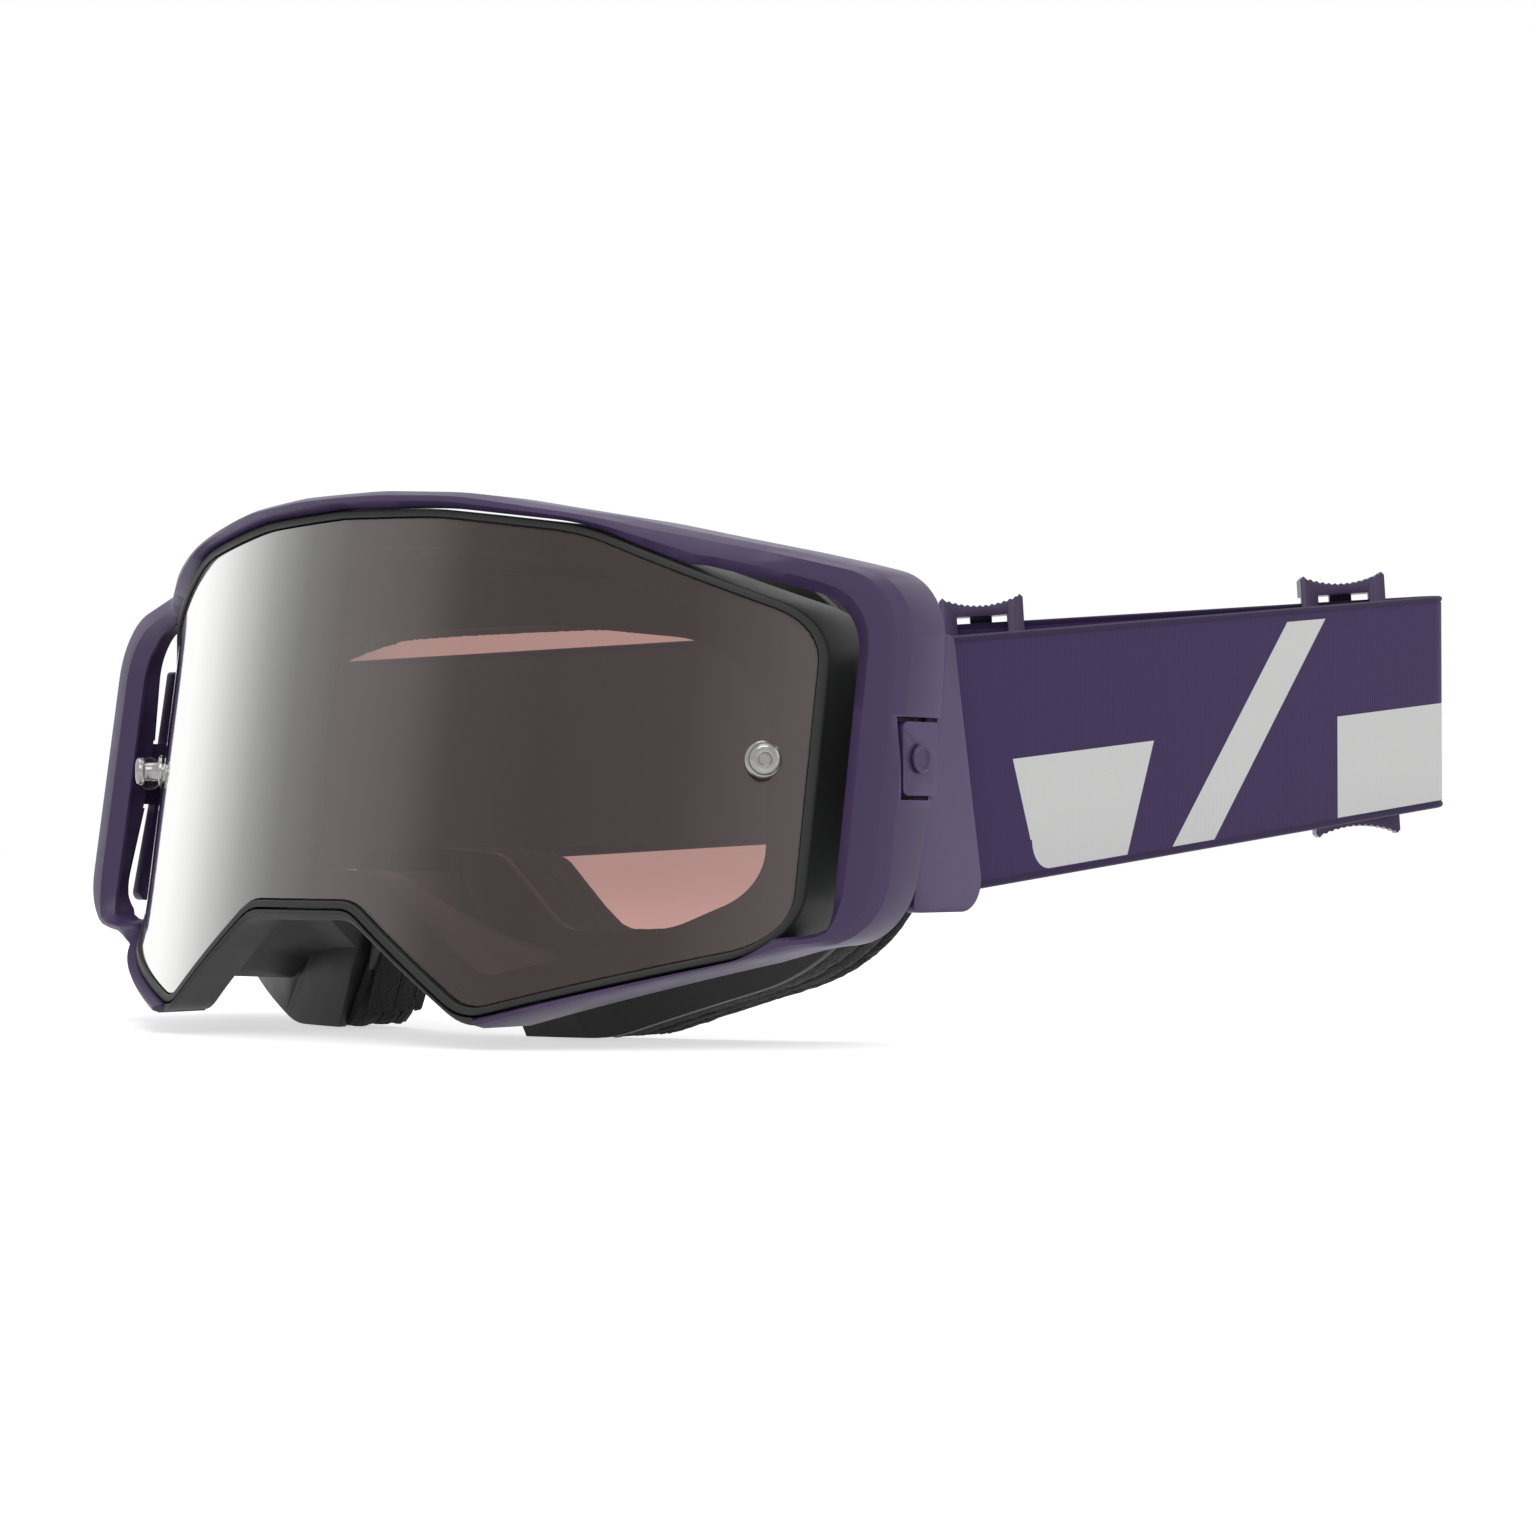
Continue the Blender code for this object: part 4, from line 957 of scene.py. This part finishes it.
class FaceGroup:
    """Flange, vent foams and the three foam layers."""

    def __init__(self, maker: Maker) -> None:
        self.maker = maker

    def flange_rail(self, angles: np.ndarray, share: float, lift: float) -> np.ndarray:
        """Rail at a share of the way from the inner frame to the foam, lifted outwards."""
        front = radii(grown(Outlines.lens(), -FRAME.seat + 0.6), angles) + lift
        rear = 0.55 * radii(Outlines.cushion(), angles) + 0.45 * radii(Outlines.port(), angles) + lift
        start = rail(front, angles, behind(FRAME.inner_depth + FACE.gap))
        end = rail(rear, angles, face_y)
        return start + (end - start) * share

    def flange(self) -> None:
        """Flange wall and the rim that carries the foam."""
        angles = ring_angles()
        cushion, port = radii(Outlines.cushion(), angles), radii(Outlines.port(), angles)
        rear: Depth = lambda x, z: face_y(x, z) - FACE.pad
        rails = [self.flange_rail(angles, 0.0, 0.0), self.flange_rail(angles, 0.0, FACE.wall),
                 self.flange_rail(angles, 0.86, FACE.wall), rail(cushion, angles, rear),
                 rail(cushion, angles, face_y), rail(port, angles, face_y), rail(port, angles, rear),
                 self.flange_rail(angles, 0.86, 0.0)]
        item = self.maker.loft("flange_shell", rails)
        self.maker.mirror(item)
        for side in (1, -1):
            self.maker.combine(item, self.patch("window", side, 0.0, -2.0, FACE.wall + 3.0), "DIFFERENCE")
        self.maker.round_edges(item, 0.3, 2)
        self.maker.done(item, Slot.BLACK, "frame", "face_flange")

    def patch(self, name: str, side: int, inset: float, low: float, high: float) -> bpy.types.Object:
        """Block in the flange's wall over the vent's span."""
        step = inset / 50.0
        angles = np.linspace(math.radians(FACE.vent[0]) + step, math.radians(FACE.vent[1]) - step, 40)
        near, far = FACE.vent_depths[0] + inset / 18.0, FACE.vent_depths[1] - inset / 18.0
        turn = np.array((side, 1.0, 1.0))
        corners = ((near, low), (far, low), (far, high), (near, high))
        return self.maker.loft(name, [self.flange_rail(angles, s, lift) * turn for s, lift in corners], True)

    def layer(self, name: str, node: str, start: float, thick: float, slot: Slot, seed: int) -> None:
        """One foam ring: bulging sides and a rough, torn-cell edge.

        The section is a rectangle whose two sides bulge by a sine of the depth; every point is then
        moved by a small even noise.
        """
        angles = ring_angles(260)
        outer, inner = radii(Outlines.cushion(), angles), radii(Outlines.port(), angles)
        steps = np.linspace(0.0, 1.0, 7)
        bulge = 0.45 * np.sin(math.pi * steps) - 0.45
        random = np.random.default_rng(seed)

        def at(base: np.ndarray, sign: float, k: int) -> np.ndarray:
            line = rail(base + sign * bulge[k], angles, lambda x, z: face_y(x, z) + start + thick * steps[k])
            rough = random.normal(0.0, 0.07, line.shape)
            rough[[0, -1], 0] = 0.0
            rough[:, 1] *= 0.5 if 0 < k < 6 else 0.0
            return line + rough

        across = np.linspace(0.0, 1.0, 9)[1:-1]
        top = [at(outer, 1.0, k) for k in range(7)] + \
              [rail(outer + (inner - outer) * s, angles, lambda x, z: face_y(x, z) + start + thick) for s in across]
        low = [at(inner, -1.0, k) for k in range(6, -1, -1)] + \
              [rail(inner + (outer - inner) * s, angles, lambda x, z: face_y(x, z) + start) for s in across]
        item = self.maker.loft(name, top + low)
        self.maker.mirror(item)
        self.maker.done(item, slot, "frame", node, smooth=60.0)

    def build(self) -> None:
        """Make the group."""
        self.flange()
        lift = (FACE.wall - FACE.vent_foam) / 2
        for side, label in ((1, "left"), (-1, "right")):
            item = self.patch("vent_filter_" + label, side, FRAME.gap, lift, lift + FACE.vent_foam)
            self.maker.done(item, Slot.FOAM, "frame", "vent_foam_" + label)
        start = FRAME.gap
        rings = (("foam_base", "foam_base_layer", Slot.FOAM), ("foam_middle", "foam_middle_layer", Slot.FOAM),
                 ("face_fleece", "face_fleece_layer", Slot.FLEECE))
        for seed, ((name, node, slot), thick) in enumerate(zip(rings, FACE.layers)):
            self.layer(name, node, start, thick, slot, seed + 3)
            start += thick + FRAME.gap


class OutriggerGroup:
    """Outriggers, pins and clips."""

    def __init__(self, maker: Maker) -> None:
        self.maker = maker

    @staticmethod
    def outline() -> Outline:
        """Side view of the plate and its tongue."""
        gap = FRAME.gap + 0.1
        corners = [
            (float(side_edge(PIVOT.top_z)) + gap + PIVOT.setback, PIVOT.top_z, 0.8),
            (float(side_edge(PIVOT.tongue)) + gap, PIVOT.tongue, 0), (PIVOT.tongue_front, PIVOT.tongue, 1.2),
            (PIVOT.tongue_front, -PIVOT.tongue, 1.2), (float(side_edge(-PIVOT.tongue)) + gap, -PIVOT.tongue, 0),
            (float(side_edge(PIVOT.bottom_z)) + gap + PIVOT.setback, PIVOT.bottom_z, 1.5),
            (PIVOT.rear_bottom, PIVOT.bottom_z, PIVOT.corner), (PIVOT.rear_top, PIVOT.top_z, 1.2)]
        middle = ((corners[-1][0] + corners[0][0]) / 2, PIVOT.top_z, 0)
        return rounded([middle, *corners, middle], 6.0)[:-1]

    @staticmethod
    def pad() -> Outline:
        """Side view of the tongue's raised pad."""
        rear = FRAME.side_back - 0.2
        half, front = PIVOT.tongue, PIVOT.tongue_front
        return rounded([(rear, 0, 0), (rear, half, 0), (front, half, 1.2), (front, -half, 1.2),
                        (rear, -half, 0), (rear, 0, 0)], 6.0)[:-1]

    def build(self) -> None:
        """Make both sides."""
        bore = circle((PIVOT.y, 0.0), PIVOT.pin + FRAME.gap)
        for side, label in ((1, "left"), (-1, "right")):
            face = FRAME.half_width
            low, high = sorted((side * (face - PIVOT.step - PIVOT.plate), side * (face - PIVOT.step)))
            item = self.maker.prism("outrigger_plate_" + label, self.outline(), low, high)
            low, high = sorted((side * (face - PIVOT.step - 1.0), side * face))
            self.maker.combine(item, self.maker.prism("pad", self.pad(), low, high), "UNION")
            low, high = sorted((side * (face - 6.0), side * (face + 3.0)))
            self.maker.combine(item, self.maker.prism("bore", bore, low, high), "DIFFERENCE")
            self.maker.round_edges(item, 0.45, 4)
            self.maker.done(item, Slot.PURPLE, "outrigger_" + label, "outrigger_" + label)
            self.pin(side, label)

    def pin(self, side: int, label: str) -> None:
        """Pin with a dished, rimmed head, and its stamped clip."""
        base = (side * FRAME.half_width, PIVOT.y, 0.0)
        tail = 4.6 + 2 * FRAME.gap + PIVOT.clip_thick + 0.5
        profile = [(0.0, 0.5), (1.35, 0.5), (1.55, 0.72), (1.75, 0.8), (2.0, 0.78), (2.2, 0.6), (2.2, 0.3),
                   (1.3, 0.3), (1.3, -tail + 0.3), (1.0, -tail), (0.0, -tail)]
        item = self.maker.turned("pin_" + label, profile, base, (side, 0, 0))
        self.maker.done(item, Slot.PURPLE, "frame", "pivot_pin_" + label)
        inner = FRAME.half_width - FRAME.wall[1] - FRAME.gap
        low, high = sorted((side * inner, side * (inner - PIVOT.clip_thick)))
        clip = self.maker.prism("clip_" + label, circle((PIVOT.y, 0.0), PIVOT.clip), low, high,
                                holes=[circle((PIVOT.y, 0.0), PIVOT.pin + 0.2)])
        self.maker.round_edges(clip, 0.15, 2)
        self.maker.done(clip, Slot.STEEL, "frame", "pivot_clip_" + label)


class StrapGroup:
    """The webbing loop, its grip print, stitched ends and sliders."""

    def __init__(self, maker: Maker) -> None:
        self.maker = maker
        self.under = FRAME.half_width - PIVOT.step - PIVOT.plate - FRAME.gap - STRAP.thick / 2
        start = (self.under, STRAP.start_y, 0)
        bend = (-self.under, *STRAP.bend)
        self.corners = rounded([start, STRAP.fold, bend, (-self.under, STRAP.start_y, 0)], 3.0)
        gaps = np.linalg.norm(np.diff(self.corners, axis=0), axis=1)
        index = [i for i in np.argsort(gaps)[::-1] if i > 0][0]
        self.fold_end = self.corners[index]
        self.along = (self.corners[index + 1] - self.fold_end) / gaps[index]

    @staticmethod
    def height_at(y: np.ndarray) -> np.ndarray:
        """Height of the strap's middle line."""
        return STRAP.slope * (y - STRAP.level_y)

    def ribbon(self, name: str, plan: np.ndarray, section: Sequence[tuple[float, float]]) -> bpy.types.Object:
        """A band along a plan line.

        Args:
            name: The object's name.
            plan: Plan points in millimetres.
            section: Points (side, up) of the closed section; side is positive towards the head.

        Returns:
            The band, with a UV map in metres: distance along and height on the strap.
        """
        tangent = np.gradient(plan, axis=0)
        tangent /= np.linalg.norm(tangent, axis=1, keepdims=True)
        inward = np.stack([-tangent[:, 1], tangent[:, 0]], 1)
        middle = self.height_at(plan[:, 1])
        rails = []
        for side, up in section:
            line = plan + inward * side
            rails.append(np.stack([line[:, 0], line[:, 1], middle + up], 1))
        item = self.maker.loft(name, rails, True)
        travel = np.r_[0, np.cumsum(np.linalg.norm(np.diff(plan, axis=0), axis=1))]
        count = len(plan)
        layer = item.data.uv_layers.new(name="Strap")
        corners = np.zeros(len(item.data.loops), dtype=np.int64)
        item.data.loops.foreach_get("vertex_index", corners)
        ups = np.array([up for _, up in section])
        flat = np.stack([travel[corners % count], ups[corners // count]], 1) * MM
        layer.data.foreach_set("uv", flat.ravel())
        return item

    def section(self) -> list[tuple[float, float]]:
        """Section of the webbing: even, with a rounded hem along both edges."""
        half, edge = STRAP.thick / 2, STRAP.height / 2
        hem = edge - STRAP.hem
        thin = half - 0.14
        right = [(thin, -hem + 0.25), (thin, -8.0), (thin, 8.0), (thin, hem - 0.25), (thin - 0.12, hem),
                 (half - 0.02, hem + 0.3), (half, edge - 0.3), (half * 0.5, edge)]
        left = [(-side, up) for side, up in right[::-1]]
        low = [(-half * 0.5, -edge), (half * 0.5, -edge)]
        lower = [(half, -edge + 0.3), (half - 0.02, -hem - 0.3), (thin - 0.12, -hem)]
        return right + left + [(-side, up) for side, up in lower[::-1]] + low + lower

    def webbing(self) -> None:
        """The loop itself."""
        item = self.ribbon("strap_webbing", dense(self.corners, 1.5), self.section())
        self.maker.done(item, Slot.WEBBING, "outrigger_left", "strap", smooth=50.0)

    def grips(self) -> None:
        """Grip print on the strap's inner face, from end to end."""
        start = STRAP.thick / 2 - 0.10
        half = STRAP.height / 2 - 1.9
        plan = dense(self.corners, 1.5)
        inside = plan[8:-8]
        section = [(start, -half), (start, half), (start + 0.2, half - 0.2), (start + 0.2, -half + 0.2)]
        item = self.ribbon("grip_print", inside, section)
        self.maker.done(item, Slot.SILICONE, "outrigger_left", "silicone_grip_left", "silicone_grip_right")

    def ends(self) -> None:
        """Folded ends with two rows of stitches each."""
        seat = STRAP.thick / 2 + FRAME.gap
        half = STRAP.height / 2 - 0.5
        for side, label in ((1, "left"), (-1, "right")):
            x = side * self.under
            plan = np.array([(x, y) for y in np.linspace(STRAP.start_y, STRAP.start_y + 9.0, 10)])[::side]
            section = [(seat, -half), (seat, half), (seat + 0.6, half), (seat + 0.9, half - 0.4),
                       (seat + 0.9, -half + 0.4), (seat + 0.6, -half)]
            item = self.ribbon("strap_fold_" + label, plan, section)
            self.maker.done(item, Slot.WEBBING, "outrigger_" + label, "strap_end_" + label)
            self.stitches(side, label, x - side * (seat + 0.95))

    def stitches(self, side: int, label: str, x: float) -> None:
        """Short threads in two rows down the folded end."""
        points, faces = [], []
        for y in (STRAP.start_y + 2.0, STRAP.start_y + 7.0):
            middle = self.height_at(y)
            for step in range(15):
                z = middle - 17.5 + 2.5 * step
                base = len(points)
                for dz, reach in ((-0.9, 0.0), (-0.5, 0.16), (0.5, 0.16), (0.9, 0.0)):
                    for dy in (-0.16, 0.16):
                        points += [(x + side * 0.15, y + dy, z + dz), (x - side * reach, y + dy, z + dz)]
                for k in range(3):
                    a = base + 4 * k
                    faces += [[a + 1, a + 3, a + 7, a + 5], [a, a + 1, a + 5, a + 4], [a + 2, a + 6, a + 7, a + 3],
                              [a, a + 4, a + 6, a + 2]]
                faces += [[base, base + 2, base + 3, base + 1], [base + 12, base + 13, base + 15, base + 14]]
        mesh = self.maker.mesh("stitches_" + label, np.array(points), faces)
        item = self.maker.thing("stitches_" + label, mesh)
        self.maker.done(item, Slot.SILICONE, "outrigger_" + label)

    def sliders(self) -> None:
        """Three-bar sliders, built lying along the strap and turned into place."""
        forward = Vector((self.along[0], self.along[1], STRAP.slope * self.along[1])).normalized()
        outward = Vector((-self.along[1], self.along[0], 0.0)).normalized()
        spin = Matrix((forward, outward, forward.cross(outward))).transposed()
        for name, station in STRAP.stations:
            place = self.fold_end + self.along * station
            seat = np.array([place[0], place[1], float(self.height_at(place[1]))])
            item = self.slider(name + "_body")
            self.settle(item, spin, seat)
            self.maker.done(item, Slot.PURPLE, name, name)

    def settle(self, item: bpy.types.Object, spin: Matrix, seat: np.ndarray) -> None:
        """Turn a mesh built at the design origin and move it to its seat."""
        count = len(item.data.vertices)
        points = np.zeros(count * 3)
        item.data.vertices.foreach_get("co", points)
        local = points.reshape(-1, 3) - self.maker.shift
        placed = local @ np.array(spin).T + seat * MM + self.maker.shift
        item.data.vertices.foreach_set("co", placed.ravel())
        item.data.update()

    def slider(self, name: str) -> bpy.types.Object:
        """One slider: a plate with concave ribbed ends outside, a bar inside, rails between."""
        half, tall = STRAP.slider_width / 2, STRAP.height / 2 + STRAP.slider_rail
        edge = STRAP.height / 2 + STRAP.slider_room
        near = STRAP.thick / 2 + FRAME.gap
        far = near + STRAP.slider_plate
        side, bar = STRAP.slider_side, STRAP.slider_bar / 2
        across = np.linspace(-half + 1.0, half - 1.0, 73)
        dip = 1.9 * (1 - (across / half) ** 2)
        teeth = 0.16 * np.sin(across * 2 * math.pi / 1.15)
        top = [(-half, tall - 0.6), (-half + 0.6, tall), *zip(across, tall - dip + teeth), (half - 0.6, tall),
               (half, tall - 0.6)]
        low = [(x, -z) for x, z in top[::-1]]
        rail_top = [(-half, edge), (half, edge), *top[::-1]]
        rail_low = [(x, -z) for x, z in rail_top[::-1]]
        hole = [(-half + side, -edge), (half - side, -edge), (half - side, edge), (-half + side, edge)]
        item = self.maker.prism(name, top + low, near, far, 1, [hole])
        for outline in (rail_top, rail_low):
            self.maker.combine(item, self.maker.prism("rail", outline, -far, far - 0.2, 1), "UNION")
        square = [(-bar, -tall + 2.6), (bar, -tall + 2.6), (bar, tall - 2.6), (-bar, tall - 2.6)]
        self.maker.combine(item, self.maker.prism("bar", square, -far, -near, 1), "UNION")
        self.maker.round_edges(item, 0.22, 2, 40.0)
        return item

    def build(self) -> None:
        """Make the group."""
        self.webbing()
        self.grips()
        self.ends()
        self.sliders()


# ---------------------------------------------------------------- studio

class Studio:
    """White floor and surroundings, soft lights and the camera."""

    azimuth = 40.0
    elevation = -1.22
    distance = 540.9
    target = (65.6, 38.1, -1.03)
    lens_mm = 81.45

    def __init__(self, maker: Maker) -> None:
        self.maker = maker

    def camera(self) -> None:
        """Camera at the front left of the wearer, nearly level."""
        data = bpy.data.cameras.new("camera")
        data.sensor_width = 36.0
        data.lens = self.lens_mm
        item = bpy.data.objects.new("camera", data)
        bpy.context.scene.collection.objects.link(item)
        turn, rise = math.radians(self.azimuth), math.radians(self.elevation)
        back = Vector((math.sin(turn) * math.cos(rise), -math.cos(turn) * math.cos(rise), math.sin(rise)))
        target = Vector(self.target) * MM + Vector(self.maker.shift)
        item.location = target + back * self.distance * MM
        item.rotation_euler = back.to_track_quat("Z", "Y").to_euler()
        bpy.context.scene.camera = item

    def floor(self) -> None:
        """Plain white floor."""
        bpy.ops.mesh.primitive_plane_add(size=12.0, location=(0.0, 0.0, -0.0006))
        item = bpy.context.active_object
        item.name = "floor"
        graph = Graph("floor_white")
        faint = graph.noise(3.0, 2.0)
        base = graph.blend(faint, (0.93, 0.93, 0.93), (0.95, 0.95, 0.95))
        seen = graph.maths("MAXIMUM", graph.node("LightPath", "Is Camera Ray"), graph.node("LightPath", "Is Glossy Ray"))
        glow = graph.blend(seen, (0.0, 0.0, 0.0), (0.62, 0.62, 0.62))
        item.data.materials.append(graph.surface(Base_Color=base, Roughness=0.9, Specular_IOR_Level=0.0,
                                                 Emission_Color=glow, Emission_Strength=1.0))

    def world(self) -> None:
        """White for the camera, a softer grey for everything else."""
        world = bpy.data.worlds.new("studio")
        bpy.context.scene.world = world
        world.use_nodes = True
        tree = world.node_tree
        back = tree.nodes["Background"]
        path = tree.nodes.new("ShaderNodeLightPath")
        seen = tree.nodes.new("ShaderNodeMath")
        seen.operation = "MAXIMUM"
        other = tree.nodes.new("ShaderNodeMath")
        other.operation = "MAXIMUM"
        tree.links.new(path.outputs["Is Camera Ray"], seen.inputs[0])
        tree.links.new(path.outputs["Is Glossy Ray"], other.inputs[0])
        tree.links.new(path.outputs["Is Transmission Ray"], other.inputs[1])
        tree.links.new(other.outputs[0], seen.inputs[1])
        mix = tree.nodes.new("ShaderNodeMix")
        mix.data_type = "RGBA"
        tree.links.new(seen.outputs[0], mix.inputs["Factor"])
        colours = [socket for socket in mix.inputs if socket.type == "RGBA"]
        colours[0].default_value = (0.42, 0.42, 0.43, 1.0)
        colours[1].default_value = (1.0, 1.0, 1.0, 1.0)
        tree.links.new([s for s in mix.outputs if s.type == "RGBA"][0], back.inputs["Color"])
        back.inputs["Strength"].default_value = 1.0

    def light(self, name: str, place: Sequence[float], power: float, size: float) -> None:
        """Soft square light aimed at the goggles."""
        data = bpy.data.lights.new(name, "AREA")
        data.energy = power
        data.size = size
        item = bpy.data.objects.new(name, data)
        bpy.context.scene.collection.objects.link(item)
        item.location = Vector(place)
        aim = Vector((0.0, 0.0, 0.04)) - item.location
        item.rotation_euler = aim.to_track_quat("-Z", "Y").to_euler()

    def build(self) -> None:
        """Set the stage."""
        self.camera()
        self.floor()
        self.world()
        self.light("key", (0.7, -0.9, 1.0), 5.5, 0.8)
        self.light("side", (1.2, 0.2, 0.5), 2.5, 0.8)
        self.light("top", (-0.2, 0.1, 1.3), 5.0, 1.0)
        scene = bpy.context.scene
        scene.view_settings.view_transform = "Standard"


def main() -> None:
    """Build the looks."""
    logging.basicConfig(level=logging.INFO, format="%(name)s: %(message)s")
    maker = Maker(Finishes())
    Studio(maker).build()
    for group in (LensGroup, OuterFrameGroup, FaceGroup, OutriggerGroup, StrapGroup):
        group(maker).build()


if __name__ == "__main__":
    main()
